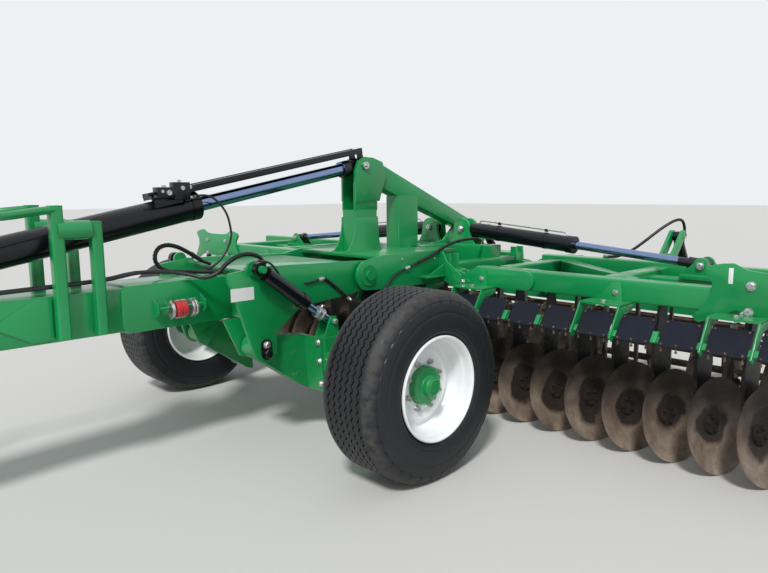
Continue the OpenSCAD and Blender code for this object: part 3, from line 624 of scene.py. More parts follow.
def addGuard(bm, line, radius, pitch, strip):
    # spiral guard wound on a hose: one flat strip, open between its turns
    lengths = [0.0]
    for a, b in zip(line, line[1:]):
        lengths.append(lengths[-1] + (b - a).length)
    count = int(lengths[-1] / pitch * 10)
    centre = []
    side = None
    for n in range(count + 1):
        s = lengths[-1] * n / count
        i = min(max(j for j, l in enumerate(lengths) if l <= s), len(line) - 2)
        t = (s - lengths[i]) / (lengths[i + 1] - lengths[i])
        p = line[i].lerp(line[i + 1], t)
        way = (line[i + 1] - line[i]).normalized()
        side = way.orthogonal() if side is None else side - way * side.dot(way)
        side.normalize()
        around = Matrix.Rotation(2 * math.pi * s / pitch, 3, way) @ side
        centre.append((p, way, around))
    section = ((0.0, -strip / 2), (0.003, -strip / 2), (0.003, strip / 2), (0.0, strip / 2))
    previous = None
    for p, way, around in centre:
        corners = [bm.verts.new(p + around * (radius + lift) + way * along) for lift, along in section]
        if previous:
            for k in range(4):
                bm.faces.new((previous[k], previous[(k + 1) % 4], corners[(k + 1) % 4], corners[k]))
        else:
            bm.faces.new(corners)
        previous = corners
    bm.faces.new(list(reversed(previous)))


# the free hoses: routes, sizes and what each end follows
freeHoses = {
    "valve": {
        "route": [(90, -690, 1603), (96, -640, 1613), (102, -588, 1614), (104, -537, 1595), (104, -490, 1553),
                  (104, -452, 1498), (104, -432, 1431), (102, -426, 1343), (94, -475, 1239),
                  (80, -556, 1167), (66, -653, 1138), (60, -720, 1130)],
        "radius": 0.007, "steps": 3, "length": 0.844, "ends": ("main_barrel", "chassis"), "sides": (1,),
    },
    "tilt": {
        "route": [(454, 250, 918), (456, 290, 890), (462, 350, 874), (472, 420, 872), (482, 480, 885),
                  (490, 518, 905), (493, 545, 924)],
        "radius": 0.007, "steps": 4, "length": 0.322, "ends": ("chassis", "centre"), "sides": (1, -1),
    },
    "lift": {
        "route": [(298, -450, 1166), (336, -450, 1174), (372, -446, 1192), (406, -434, 1212),
                  (441, -409, 1216), (465, -376, 1196), (474, -344, 1156), (472, -316, 1110),
                  (466, -285, 1070), (460, -251, 1037), (458, -211, 1013), (458, -168, 988)],
        "radius": 0.007, "steps": 3, "length": 0.512, "ends": ("chassis", "lift_barrels"), "sides": (1, -1),
    },
    "roller": {
        "route": [(1330, 2190, 1113), (1400, 2190, 1114), (1460, 2194, 1128), (1535, 2216, 1170),
                  (1600, 2248, 1226), (1660, 2290, 1288), (1715, 2340, 1346), (1762, 2392, 1388),
                  (1790, 2445, 1403), (1798, 2494, 1390), (1800, 2527, 1354), (1800, 2540, 1308),
                  (1800, 2528, 1262), (1800, 2504, 1233), (1800, 2492, 1224)],
        "radius": 0.011, "steps": 3, "length": 0.897, "ends": ("wing_", "roller_barrel_"), "sides": (1, -1),
    },
}


def addCrimp(bm, end, inner, radius):
    # swaged sleeve on a hose's end with its hexagon beyond it
    way = (end - inner).normalized()
    addRod(bm, end - way * 0.030, end, radius + 0.0032, sides=20)
    addRod(bm, end - way * 0.033, end - way * 0.030, radius + 0.001, radius + 0.0032, 20)
    addRod(bm, end, end + way * 0.010, radius + 0.0045, sides=6)


def addFreeHoses(hoses):
    for kind, h in hoses.items():
        for side in h["sides"]:
            label = "left" if side > 0 else "right"
            line = smoothLine([at(x * side, y, z) for x, y, z in h["route"]], h["steps"])
            bm = bmesh.new()
            addTube(bm, line, h["radius"])
            one, two = (b + label if b.endswith("_") else b for b in h["ends"])
            node = "hose_" + kind + ("_" + label if len(h["sides"]) > 1 else "")
            piece = closePiece("rubber_" + node, bm, "hoseRubber", None, sharp=60)
            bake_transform(piece)
            for body, end, inner in ((one, line[0], line[1]), (two, line[-1], line[-2])):
                bm = bmesh.new()
                addCrimp(bm, end, inner, h["radius"])
                closePiece("crimp_" + node + "_" + body, bm, "zincPlate", body, sharp=40)


addFreeHoses(freeHoses)
print("free hoses laid")


# hoses that clips hold to one body, with the pieces that hold them
heldHoses = {
    "run": [(-4150, 666), (-3700, 775), (-3200, 896), (-2700, 1017), (-2400, 1086), (-2050, 1130),
            (-1779, 1140), (-1285, 1153), (-1068, 1178)],
    "runXs": (112, 135),
    "runRadius": 0.011, "thinRadius": 0.007, "crimpRadius": 0.0135,
    "guardGap": 0.0005, "runWind": (0.020, 0.013), "thinGuard": (0.009, 0.016, 0.0115),
    "crimps": [("tilt_hose_crimps", "chassis", (450, 2, 1062), (450, 44, 1066)),
               ("centre_hose_crimps", "centre", (492, 780, 1068), (492, 824, 1080))],
    "inner": [(-808, 1164), (-640, 1144), (-505, 1132)],
    "arch": [(150, -900, 1170), (200, -790, 1150), (262, -720, 1130), (298, -650, 1152), (300, -588, 1202),
             (300, -515, 1240), (300, -434, 1252), (300, -355, 1230), (300, -305, 1180)],
    "loop": [(-455, 1163), (-520, 1192), (-600, 1244), (-680, 1288), (-755, 1306), (-815, 1285), (-838, 1228),
             (-812, 1172), (-750, 1140), (-680, 1124)],
    "loopX": -120,
    "tilt": [(450, -110, 1049), (450, -76, 1051), (450, -40, 1054), (450, 0, 1062), (450, 40, 1066),
             (450, 74, 1053), (450, 110, 1027), (450, 154, 993), (451, 200, 956), (453.5, 241, 925)],
    "centre": [(493, 553, 932), (493, 612, 988), (492, 677, 1036), (492, 778, 1068), (492, 916, 1104),
               (492, 1060, 1142), (494, 1190, 1194), (500, 1325, 1232), (500, 1485, 1249), (482, 1640, 1243),
               (445, 1760, 1215), (420, 1822, 1192)],
}


def addHeldHoses(s):
    bm = bmesh.new()
    inner = smoothLine([at(s["runXs"][0], y, z) for y, z in s["run"] + s["inner"]], 3)
    outer = smoothLine([at(s["runXs"][1], y, z) for y, z in s["run"]] + [at(*p) for p in s["arch"]], 4)
    loop = smoothLine([at(s["loopX"], y, z) for y, z in s["loop"]], 4)
    for line in (inner, outer, loop):
        addTube(bm, line, s["runRadius"])
    for side in (1, -1):
        addTube(bm, smoothLine([at(x * side, y, z) for x, y, z in s["tilt"]], 3), s["thinRadius"])
    closePiece("drawbar_hose_tubes", bm, "hoseRubber", "chassis", sharp=60)

    # bright crimps part-way along the thin hoses
    for name, body, a, b in s["crimps"]:
        bm = bmesh.new()
        for side in (1, -1):
            addRod(bm, at(a[0] * side, *a[1:]), at(b[0] * side, *b[1:]), s["crimpRadius"], sides=20)
        closePiece(name, bm, "zincPlate", body)

    # spiral guards on the arch and the loop, which stand free of the beam, and on the tilt hoses' rear
    bm = bmesh.new()
    for line in (outer[44:-3], loop[4:-4]):
        addGuard(bm, line, s["runRadius"] + s["guardGap"], *s["runWind"])
    for side in (1, -1):
        rear = smoothLine([at(x * side, y, z) for x, y, z in s["tilt"][4:]], 3)
        addGuard(bm, rear, *s["thinGuard"])
    closePiece("drawbar_hose_guards", bm, "hoseRubber", "chassis", sharp=40)

    bm = bmesh.new()
    for side in (1, -1):
        line = smoothLine([at(x * side, y, z) for x, y, z in s["centre"]], 3)
        addTube(bm, line, s["thinRadius"])
        addGuard(bm, line[12:-4], *s["thinGuard"])
    closePiece("centre_hose_tubes", bm, "hoseRubber", "centre", sharp=60)


addHeldHoses(heldHoses)
print("held hoses laid")


tyreSet = {
    "grooves": (-112, -66, -22, 22, 66, 112),    # middles of the zigzag grooves from the tread's middle
    "grooveHalf": 4.5,
    "grooveDepth": 9,
    "zigzag": 8,
    "waves": 72,
    "stepsPerWave": 4,
    "side": [(286, 180), (302, 180), (306, 186), (318, 199), (330, 204), (336, 203.5), (340, 206),
             (348, 207.5), (372, 209.5), (400, 210), (421, 210), (425, 208.5), (429, 209.8), (446, 208),
             (468, 204.5), (485, 202), (489, 199), (493, 200), (505, 194), (518, 184), (529, 174),
             (536, 163), (541, 152), (544.5, 143)],
}


def addTyre(name, body, s, flipped):
    # half section from the bead to the shoulder, the grooved tread, and the same half mirrored
    half = s["side"]
    tread = []
    for g in s["grooves"]:
        w = s["grooveHalf"]
        tread += [(545, g - w - 1.5), (545 - s["grooveDepth"], g - w + 1.5),
                  (545 - s["grooveDepth"], g + w - 1.5), (545, g + w + 1.5)]
    profile = [(r, -x) for r, x in half] + tread + [(r, x) for r, x in reversed(half)]
    bm = bmesh.new()
    steps = s["waves"] * s["stepsPerWave"]
    verts = addLathe(bm, [(r / 1000, x / 1000) for r, x in profile], Matrix.Identity(4), steps, closed=True)
    swing = (0, 1, 0, -1)
    reach = (s["grooves"][-1] + s["grooveHalf"] + 3) / 1000
    for v in verts:
        r = math.hypot(v.co.x, v.co.y)
        turn = math.atan2(v.co.y, v.co.x) % (2 * math.pi)
        n = round(turn / (2 * math.pi) * steps) % steps
        if r > 0.53 and abs(v.co.z) < reach:
            v.co.z += s["zigzag"] / 1000 * swing[n % 4]
        # notches cut every other wave along the outer edge of the shoulder
        if 0.488 < r < 0.52 and abs(v.co.z) > 0.18 and n % 8 in (0, 1):
            v.co.z *= 0.972
    bmesh.ops.transform(bm, matrix=lineUp(at(wheelX * 1000, 0, wheelRadius * 1000), (1, 0, 0)),
                        verts=bm.verts)
    piece = closePiece(name, bm, "tyreRubber", body, flipped, sharp=35)
    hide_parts("tyre_" + body.split("_")[1])


wheelSet = {
    "rim": [(298, 187), (300.5, 191), (301, 197), (299, 202), (294, 205), (288, 203.5), (284, 198),
            (281, 190), (278.5, 176), (276, 160), (275, 150), (271, 144), (267, 132), (265, 112), (262, 86),
            (258, 66), (254, 52), (249, 44), (242, 40.5), (234, 41), (226, 44), (221, 50), (213, 57),
            (207, 61), (203, 66.5), (196, 68), (152, 68), (148, 66.5), (141, 66.5), (137, 68), (118, 68),
            (111, 66), (110, 58), (198, 57), (214, 45), (232, 30), (246, 26), (252, 0), (262, -60),
            (268, -100), (271, -144), (276, -160), (280, -186), (286, -200), (293, -204), (298, -198),
            (300, -188), (290, -183), (287, -160), (284, -130), (274, -90), (262, -20), (262, 20),
            (270, 70), (282, 130), (285, 160), (289, 183)],
    "hub": [(44, -66), (86, -66), (90, -62), (90, 50), (110, 55.2), (110, 68), (108, 72), (108, 103),
            (104, 108), (98, 110), (70, 111), (62, 113), (58, 118), (57, 146), (54, 150), (47, 152),
            (45, 159), (42, 161), (40, 155), (34, 154.5), (30, 158), (0, 158.5)],
    "hubBack": [(44, -66), (44, 8), (0, 8)],
    "nutCircle": 137.5,
    "nuts": 8,
    "lugs": 10,
}


def addWheel(label, s, flipped):
    body = "wheel_" + label
    centre = at(wheelX * 1000, 0, wheelRadius * 1000)
    where = lineUp(centre, (1, 0, 0))
    bm = bmesh.new()
    addLathe(bm, [(r / 1000, x / 1000) for r, x in s["rim"]], where, 96, closed=True)
    # the tyre valve stands through the dish
    addRod(bm, where @ Vector((0.0, 0.238, 0.04)), where @ Vector((0.0, 0.236, 0.075)), 0.006, 0.0045, 12)
    piece = closePiece("rim_pressed_" + label, bm, "whiteEnamel", body, flipped, sharp=38)
    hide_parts("rim_" + label)

    bm = bmesh.new()
    addLathe(bm, [(r / 1000, x / 1000) for r, x in s["hub"] + s["hubBack"][::-1][:-1]], where, 60)
    for k in range(s["lugs"]):
        turn = where @ Matrix.Rotation(2 * math.pi * (k + 0.5) / s["lugs"], 4, "Z")
        addRod(bm, turn @ Vector((0.099, 0, 0.070)), turn @ Vector((0.099, 0, 0.107)), 0.0155, 0.0135, 14)
    for k in range(40):
        turn = where @ Matrix.Rotation(2 * math.pi * k / 40, 4, "Z")
        addRod(bm, turn @ Vector((0.0565, 0, 0.121)), turn @ Vector((0.0565, 0, 0.144)), 0.0022, sides=6)
    for k in range(6):
        turn = where @ Matrix.Rotation(2 * math.pi * k / 6, 4, "Z")
        addRod(bm, turn @ Vector((0.019, 0, 0.156)), turn @ Vector((0.019, 0, 0.1605)), 0.0055, sides=6)
    piece = closePiece("hub_turned_" + label, bm, "greenEnamel", body, flipped, sharp=30)
    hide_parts("hub_" + label)

    bm = bmesh.new()
    for k in range(s["nuts"]):
        turn = where @ Matrix.Rotation(2 * math.pi * (k + 0.5) / s["nuts"], 4, "Z")
        foot = turn @ Vector((s["nutCircle"] / 1000, 0, 0.0665))
        addRod(bm, foot, foot + Vector((0.006, 0, 0)), 0.019, 0.015, 20)
        addCone(bm, 6, 0.0152, 0.0145, 0.018, lineUp(foot + Vector((0.014, 0, 0)), (1, 0, 0), 0.3 * k))
        addRod(bm, foot, foot + Vector((0.031, 0, 0)), 0.0082, 0.0072, 14)
    closePiece("wheel_nuts_" + label, bm, "zincPlate", body, flipped)


for label in ("left", "right"):
    addTyre("tyre_tread_" + label, "wheel_" + label, tyreSet, label == "right")
    addWheel(label, wheelSet, label == "right")
print("tyres and wheels built")


discSet = {
    "radius": 280, "thick": 6, "dish": 60, "pitch": 255, "yaw": 17, "lean": 10, "height": 275.7,
    "frontY": 1247, "rearY": 2152, "rearShift": 36,
    "studs": 5, "studCircle": 44,
}


def discFrame(s, x, y, side):
    yaw = math.radians(-s["yaw"] if side > 0 else 180 + s["yaw"])
    return (Matrix.Translation(at(x, y, s["height"])) @ Matrix.Rotation(yaw, 4, "Z")
            @ Matrix.Rotation(math.radians(90 - s["lean"]), 4, "Y"))


def addDiscRow(bm, steel, s, xs, y, side):
    ball = (s["radius"] ** 2 + s["dish"] ** 2) / (2 * s["dish"])
    face = [(s["radius"] * k / 8, ball - math.sqrt(ball ** 2 - (s["radius"] * k / 8) ** 2) - s["dish"])
            for k in range(9)]
    back = [(r, h - s["thick"]) for r, h in face[::-1]]
    back[0] = (s["radius"] - 3, back[0][1] + 1.5)    # ground edge
    for x in xs:
        where = discFrame(s, x, y, side)
        spin = where @ Matrix.Rotation(dice.uniform(0, 6.28), 4, "Z")
        addLathe(bm, [(r / 1000, h / 1000) for r, h in face + back], spin, 48)
        # bearing housing behind, clamp plate and studs in the hollow
        for a, b, r1, r2 in ((-105, -97, 58, 62), (-97, -64, 62, 62), (-53.6, -48, 60, 58)):
            addCone(steel, 28, r1 / 1000, r2 / 1000, (b - a) / 1000,
                    spin @ Matrix.Translation((0, 0, (a + b) / 2000)))
        out = spin.to_3x3() @ Vector((0, 0, 1))
        for k in range(s["studs"]):
            turn = spin @ Matrix.Rotation(2 * math.pi * k / s["studs"], 4, "Z")
            addBolt(steel, turn @ Vector((s["studCircle"] / 1000, 0, -0.048)), out, 0.014)


def closeDiscs(name, bm, body, s, flipped, node):
    # turns round each disc and share of its radius, kept in a UV map for the scratches and the mud
    piece = closePiece(name, bm, "wornDiscSteelPaintedShade", body, flipped, sharp=50)
    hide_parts(node)
    uv = piece.data.uv_layers.new(name="wear")
    frames = discFrames[body]
    for face in piece.data.polygons:
        c = Vector(face.center)
        f = min(frames, key=lambda m: (m.translation - c).length)
        back = f.inverted()
        turns = []
        for loop in face.loop_indices:
            p = back @ piece.data.vertices[piece.data.loops[loop].vertex_index].co
            turns.append((loop, math.atan2(p.y, p.x) / (2 * math.pi),
                          math.hypot(p.x, p.y) / (s["radius"] / 1000)))
        middle = back @ c
        seam = math.atan2(middle.y, middle.x) / (2 * math.pi)
        for loop, u, v in turns:
            u += 1 if seam - u > 0.5 else -1 if u - seam > 0.5 else 0
            uv.data[loop].uv = (u, v)
    return piece


discFrames = {}
pitch = discSet["pitch"]
for body, node, fronts, rears in (
        ("wing_left", "discs_left", range(4, 14), range(3, 13)),
        ("wing_right", "discs_right", range(4, 14), range(3, 13)),
        ("centre", "centre_discs", range(1, 4), range(1, 3))):
    bm, steel = bmesh.new(), bmesh.new()
    flipped = body == "wing_right"
    frames = [discFrame(discSet, pitch * k, discSet["frontY"], 1) for k in fronts]
    frames += [discFrame(discSet, pitch * k - discSet["rearShift"], discSet["rearY"], -1) for k in rears]
    addDiscRow(bm, steel, discSet, [pitch * k for k in fronts], discSet["frontY"], 1)
    addDiscRow(bm, steel, discSet, [pitch * k - discSet["rearShift"] for k in rears], discSet["rearY"], -1)
    if body == "centre":
        mirrored(bm)
        mirrored(steel)
        frames += [mirrorX @ f for f in frames]
    if flipped:
        frames = [mirrorX @ f for f in frames]
    discFrames[body] = frames
    closeDiscs("disc_blades_" + node, bm, body, discSet, flipped, node)
    closePiece("disc_hubs_" + node, steel, "dampSteel", body, flipped)
print("discs built")


shieldSet = {
    "top": (1070, 885), "low": (960, 752), "thick": 7, "pitch": 255, "first": 727.5, "gap": 25, "width": 205,
    "lowBolts": (18, 102, 187), "boltSize": 0.008,
}


def addShieldBolts(bm, s, spans):
    # small bolts along the low edge, whose ends hang under it, and one in each upper corner
    way = Vector((0, s["top"][0] - s["low"][0], s["top"][1] - s["low"][1])).normalized()
    out = Vector((0, -way.z, way.y))
    face = out * s["thick"]
    for x, width in spans:
        for share in s["lowBolts"]:
            dx = share / s["width"] * width
            foot = at(*(Vector((x + dx, s["low"][0], s["low"][1])) + way * 13 + face))
            addBolt(bm, foot, out, s["boltSize"], washer=False)
            hang = at(x + dx, s["low"][0] + 4, s["low"][1] + 4)
            addRod(bm, hang, hang + Vector((0, 0.002, -0.034)), 0.0045, sides=8)
            addRod(bm, hang + Vector((0, 0.002, -0.022)), hang + Vector((0, 0.002, -0.030)), 0.008, sides=6)
        for dx in (16, width - 16):
            foot = at(*(Vector((x + dx, s["top"][0], s["top"][1])) - way * 16 + face))
            addBolt(bm, foot, out, s["boltSize"], washer=False)


def gapX(k):
    return shieldSet["first"] + shieldSet["pitch"] * k


# the welded frames, of square tube and cut plate with dressed edges; sizes in millimetres
frameSet = {
    "deep": 120, "high": 140, "rearHigh": 165, "under": 935, "frontY": 1285, "rearY": 2190,
    "hingeX": 700, "hingeZ": 954, "wingStart": 800, "wingEnd": 3240,
    "sideX": 430, "swingX": 470,
    "wallY": -480, "deckZ": 1150, "barHalf": 150, "barTop": 1100, "sleeveTop": 1112,
    "tieXs": (950, 1800, 2660),
    "rollerRams": (0, 1800), "rollerTop": (2400, 1280), "rollerPivot": (2340, 1050), "armXs": (1000, 2700),
}
f = frameSet
beamTop = f["under"] + f["high"]
rearTop = f["under"] + f["rearHigh"]
frontFace = f["frontY"] - f["deep"] / 2
rearFace = f["rearY"] - f["deep"] / 2


def shieldHoop(bm, x, back, into):
    # two side plates and a slotted top plate round one shield
    low, top = shieldSet["low"], shieldSet["top"]
    z = f["under"]
    for edge in (x, x + 255):
        plateYZ(bm, edge, 10, [(back + into, z), (back + into, z - 40), (1110, 870),
                               (low[0] + 16, low[1] - 24), (low[0] - 24, low[1] + 6), (top[0] - 20, z)])
    y1, y2 = top[0] - 20, back + into
    for a, b in (((x - 5, y1), (x + 260, 1100)), ((x - 5, 1122), (x + 260, y2)),
                 ((x - 5, 1100), (x + 90, 1122)), ((x + 160, 1100), (x + 260, 1122))):
        block(bm, (a[0], a[1], z - 6), (b[0], b[1], z + 6), 0)


def hoopGusset(bm, x, back):
    plateXZ(bm, back - 5.5, 13, [(x, 905), (x + 122, 1053), (x + 187, 1059), (x + 201, 925), (x + 260, 905)])


def shieldClip(bm, x):
    y, z = shieldSet["low"]
    plateYZ(bm, x, 30, [(y - 10, z + 20), (y + 20, z + 20), (y + 62, z + 70), (y + 30, z + 76)])


def shieldRail(bm, a, b):
    y, z = shieldSet["low"]
    way = Vector((shieldSet["top"][0] - y, shieldSet["top"][1] - z)).normalized()
    out = Vector((-way.y, way.x))
    corners = [Vector((y, z)) + way * 20, Vector((y, z)) + way * 60]
    corners += [corners[1] - out * 12, corners[0] - out * 12]
    plateYZ(bm, (a + b) / 2, b - a + 10, [tuple(c) for c in corners], 0)


def hingeOuter(bm, y, z, length):
    x, hz = f["hingeX"], f["hingeZ"]
    outline = arc((x, hz), 58, 270, 90, 16) + [(820, z + 138)]
    outline += arc((length, z + 70), 68, 90, -90, 12) + [(820, z + 2)]
    for side in (-1, 1):
        plateXZ(bm, y + side * 71, 26, outline)
    pinY(bm, (x, y, hz), 30, f["deep"] + 70)


def hingeInner(bm, y):
    x, z, hz = f["hingeX"], f["under"], f["hingeZ"]
    outline = [(480, z), (x - 60, z), (x - 20, hz - 50)] + arc((x, hz), 54, -70, 70, 12)
    outline += [(600, 1036), (545, 1040), (535, 1150), (480, 1150)]
    for side in (-1, 1):
        plateXZ(bm, y + side * 45, 24, outline)


def rollerPost(bm, x):
    y, z = f["rollerTop"]
    for side in (-1, 1):
        plateYZ(bm, x + side * 40, 24, [(2150, rearTop - 5), (2250, rearTop - 5), (y + 45, z + 10)]
                + arc((y, z), 46, 10, 130, 8))
    block(bm, (x - 28, 2165, rearTop - 5), (x + 28, 2235, rearTop + 60))
    pinX(bm, (x, y, z), 24, 110)


def rollerLugs(bm, x):
    y, z = f["rollerPivot"]
    for side in (-1, 1):
        plateYZ(bm, x + side * 45, 20, [(2248, 945), (2248, rearTop)] + arc((y, z), 45, 90, -90, 12))
    pinX(bm, (x, y, z), 22, 120)


def addWingFrame(label, flipped):
    body = "wing_" + label
    bm = bmesh.new()
    z = f["under"]
    hingeOuter(bm, f["frontY"], z, 1242)
    hingeOuter(bm, f["rearY"], z, 1092)
    squareTube(bm, (f["wingStart"], frontFace, z), (f["wingEnd"], frontFace + f["deep"], beamTop))
    squareTube(bm, (f["wingStart"], rearFace, z), (f["wingEnd"], rearFace + f["deep"], rearTop))
    shieldHoop(bm, gapX(0), frontFace - 24, 14)
    shieldHoop(bm, gapX(4), frontFace, 14)
    shieldHoop(bm, gapX(7), frontFace - 21.3, 0)
    hoopGusset(bm, gapX(0), frontFace - 24)
    hoopGusset(bm, gapX(4), frontFace)
    for k in (2, 3, 6, 9, 10):
        shieldClip(bm, gapX(k))
    shieldRail(bm, gapX(0), gapX(10))
    for x in f["tieXs"]:
        squareTube(bm, (x - 60, frontFace + f["deep"] - 4, z + 10), (x + 60, rearFace + 4, beamTop - 2), 12)
    # diagonal brace between the beams
    plate = [(1960, 1345), (1960, 1420), (1130, 2130), (1020, 2130), (1020, 2060)]
    where = Matrix.Translation(at(0, 0, z + 52))
    addPlate(bm, [(x / 1000, y / 1000) for x, y in plate], where, 0.080, 0.004)
    # bracket between two ties that takes the wing ram's rod eye
    ex, ey, ez = pins["wingEye"]
    outline = [(2060, beamTop - 10), (2330, beamTop - 10)] + arc((ex, ez + 5), 48, 10, 170, 12)
    for side in (-1, 1):
        plateXZ(bm, ey + side * 58, 20, outline)
        pinY(bm, (ex, ey + side * 62, ez), 30.9, 26)
    squareTube(bm, (1850, ey - 60, z + 12), (2610, ey + 60, beamTop - 40), 12)
    block(bm, (2060, ey - 80, beamTop - 42), (2330, ey + 80, beamTop - 8))
    rollerPost(bm, f["rollerRams"][1])
    for x in f["armXs"]:
        rollerLugs(bm, x)
    piece = closePiece("wing_weldment_" + label, bm, "greenEnamel", body, flipped)
    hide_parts("wing_frame_" + label)

    bm = bmesh.new()
    g = gapX(7)
    middle = (g - 21 + f["wingEnd"]) / 2
    half = [(g + 252, 931), (g + 91, 963), (g - 103, 869), (g - 141, 899), (g - 88, 965), (g - 42, 1049),
            (g - 42, 1107), (g - 91, 1171), (g - 75, 1197), (g + 5, 1217), (g + 66, 1222), (g + 137, 1189),
            (g + 236, 1179)]
    plateXZ(bm, frontFace - 11, 20, half + [(2 * middle - x, z) for x, z in reversed(half)], 0.0025)
    piece = closePiece("wing_end_plate_" + label, bm, "greenEnamel", body, flipped)
    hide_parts("wing_plate_" + label)


def addTower():
    deck, post = 1180, 72
    bm = bmesh.new()
    for side in (-1, 1):
        block(bm, (side * 65.5 - 6, 671, 1488), (side * 65.5 + 6, 908, 1699))
        plateYZ(bm, side * 77, 12, flare((553, deck), (672, 1440)) + flare((953, deck), (908, 1440))[::-1])
        plateYZ(bm, side * post, 24, [(675, 1560), (925, 1560), (1000, 1760), (960, 1860), (860, 1890),
                                      (770, 1895), (705, 1860), (675, 1790)], 0.003)
        pinX(bm, (side * 90, *pins["tower"][1:]), 33.9, 14)
    squareTube(bm, (-post, 670, deck), (post, 910, 1496))
    block(bm, (-post, 880, 1496), (post, 910, 1700))
    squareTube(bm, (-post, 1145, deck), (post, 1385, 1600))
    plateYZ(bm, 0, 120, [(925, 1680), (925, 1862), (960, 1850), (2060, 1395), (2010, 1290)], 0.006)
    plateYZ(bm, 0, 20, [(1630, deck), (1640, 1188), (1780, 1205), (1934, 1335), (1990, 1370), (2040, 1300),
                        (2040, deck)])
    piece = closePiece("tower_weldment", bm, "greenEnamel", "centre")
    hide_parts("tower")


def addCentreFrame():
    bm = bmesh.new()
    z, swing = f["under"], f["swingX"]
    ty, tz = pins["tilt"][1:]
    carrier = arc((ty, tz), 105, 97, 263, 20) + [(700, z), (1230, z), (1230, 1185), (560, 1185)]
    plateYZ(bm, swing, 25, carrier, 0.003)
    pinX(bm, (swing + 16.5, ty, tz), 72, 10, 56)
    squareTube(bm, (410, frontFace + 105, z + 2), (530, rearFace + 15, beamTop))
    hingeInner(bm, f["frontY"])
    hingeInner(bm, f["rearY"])
    cheek = frontFace - 51
    plateXZ(bm, cheek, 12, [(480, 960), (480, 1175), (520, 1175), (560, 1100), (694, 1012), (706, 990),
                            (706, 918), (690, 905), (560, 940)])
    block(bm, (480, cheek - 220, 985), (556, cheek + 2, 1000))
    plateYZ(bm, 542, 10, [(cheek - 215, 995), (cheek + 2, 995), (cheek + 2, 1090)])
    bx, by, bz = pins["wingBase"]
    bell = flare((16, 1170), (100, 1330)) + arc((bx, bz), 88, 160, 20, 16)
    bell += flare((354, 1170), (270, 1330))[::-1]
    for side in (-1, 1):
        plateXZ(bm, by + side * 52, 24, bell, 0.003)
    pinY(bm, (bx, by, bz), 30, 150)
    rollerLugs(bm, 300)
    shieldHoop(bm, gapX(-2), frontFace, 14)
    mirrored(bm)
    for y, top in ((f["frontY"], beamTop), (f["rearY"], rearTop)):
        squareTube(bm, (-535, y - 60, z), (535, y + 60, top))
        block(bm, (-640, y - 33, z + 1), (640, y + 33, 1030))
    squareTube(bm, (-500, by - 80, z + 30), (500, by + 80, 1180), 12)
    block(bm, (-swing, 560, 1150), (swing, 1400, 1180), 0.003)
    block(bm, (-110, f["frontY"], beamTop - 20), (110, f["rearY"], 1180), 0.003)
    rollerPost(bm, f["rollerRams"][0])
    shieldRail(bm, 45 - gapX(0), gapX(0) - 45)
    piece = closePiece("centre_weldment", bm, "greenEnamel", "centre")
    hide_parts("centre_frame")


def addChassis():
    bm = bmesh.new()
    x, wall, deck = f["sideX"], f["wallY"], f["deckZ"]
    ay, az = pins["arm"][1:]
    ty, tz = pins["tilt"][1:]
    side = [(-670, 1112), (-670, 1156), (-460, 1185), (300, 1162)] + arc((ty, tz), 100, 90, -90, 18)
    side += [(300, 935), (-140, 900), (-334, 760)] + arc((ay, az), 86, 0, -170, 14) + [(-640, 1060)]
    plateYZ(bm, x, 25, side, 0.003)
    plateYZ(bm, x - 175, 20, [(-600, 850), (-300, 850), (-330, 760), (-345, 700), (-430, 585), (-490, 610)])
    fillet = [(wall + 20, 870), (wall + 20, deck - 2)] + flare((-250, deck - 2), (wall + 24, 870))
    plateYZ(bm, 200, 16, fillet)
    pinX(bm, (pins["arm"][0] - 88, ay, az), 34, 210)
    mirrored(bm)
    block(bm, (-x, wall, deck - 25), (x, 330, deck), 0.003)
    block(bm, (-x, wall, 850), (x, wall + 25, deck), 0.003)
    block(bm, (-x, 40, 925), (x, 65, deck), 0)
    block(bm, (-150, wall, 860), (150, 50, deck - 10), 0)
    pinX(bm, (0, ty, tz), 60, 835)
    piece = closePiece("chassis_weldment", bm, "greenEnamel", "chassis")
    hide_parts("chassis")


def addDrawbar():
    bm = bmesh.new()
    half, top, wall = f["barHalf"], f["barTop"], f["wallY"]
    for side in (1, -1):
        plateYZ(bm, side * (half + 6), 12, [(-1545, 872), (-1545, 1088), (-1635, 1088), (-1830, 970),
                                            (-1645, 865)])
        plateYZ(bm, side * 75, 30, [(-2960, 920), (-2600, 1005), (-2740, 1160), (-2800, 1190), (-2860, 1160)])
    plateYZ(bm, 0, 2 * half, [(wall, 850), (wall, top), (-2050, top), (-2400, top - 40), (-4300, 600),
                              (-4300, 440), (-2350, 770), (-2000, 850)], 0.010)
    plateYZ(bm, 0, 2 * half + 30, [(-1180, 880), (-1150, 840), (wall, 840), (wall, f["sleeveTop"]),
                                   (-1150, f["sleeveTop"]), (-1180, 1080)], 0.006)
    pinX(bm, pins["mainBase"], 35, 230)
    lug = [(150, 915), (195, 915), (225, 940), (225, 985), (150, 1030)]
    for side in (1, -1):
        for y in (-993, -694):
            plateXZ(bm, y, 8, [(side * x, z) for x, z in lug])
        addRod(bm, at(side * 200, -994, 965), at(side * 200, -693, 965), 0.009, sides=20)
    piece = closePiece("drawbar_weldment", bm, "greenEnamel", "chassis")
    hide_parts("drawbar")


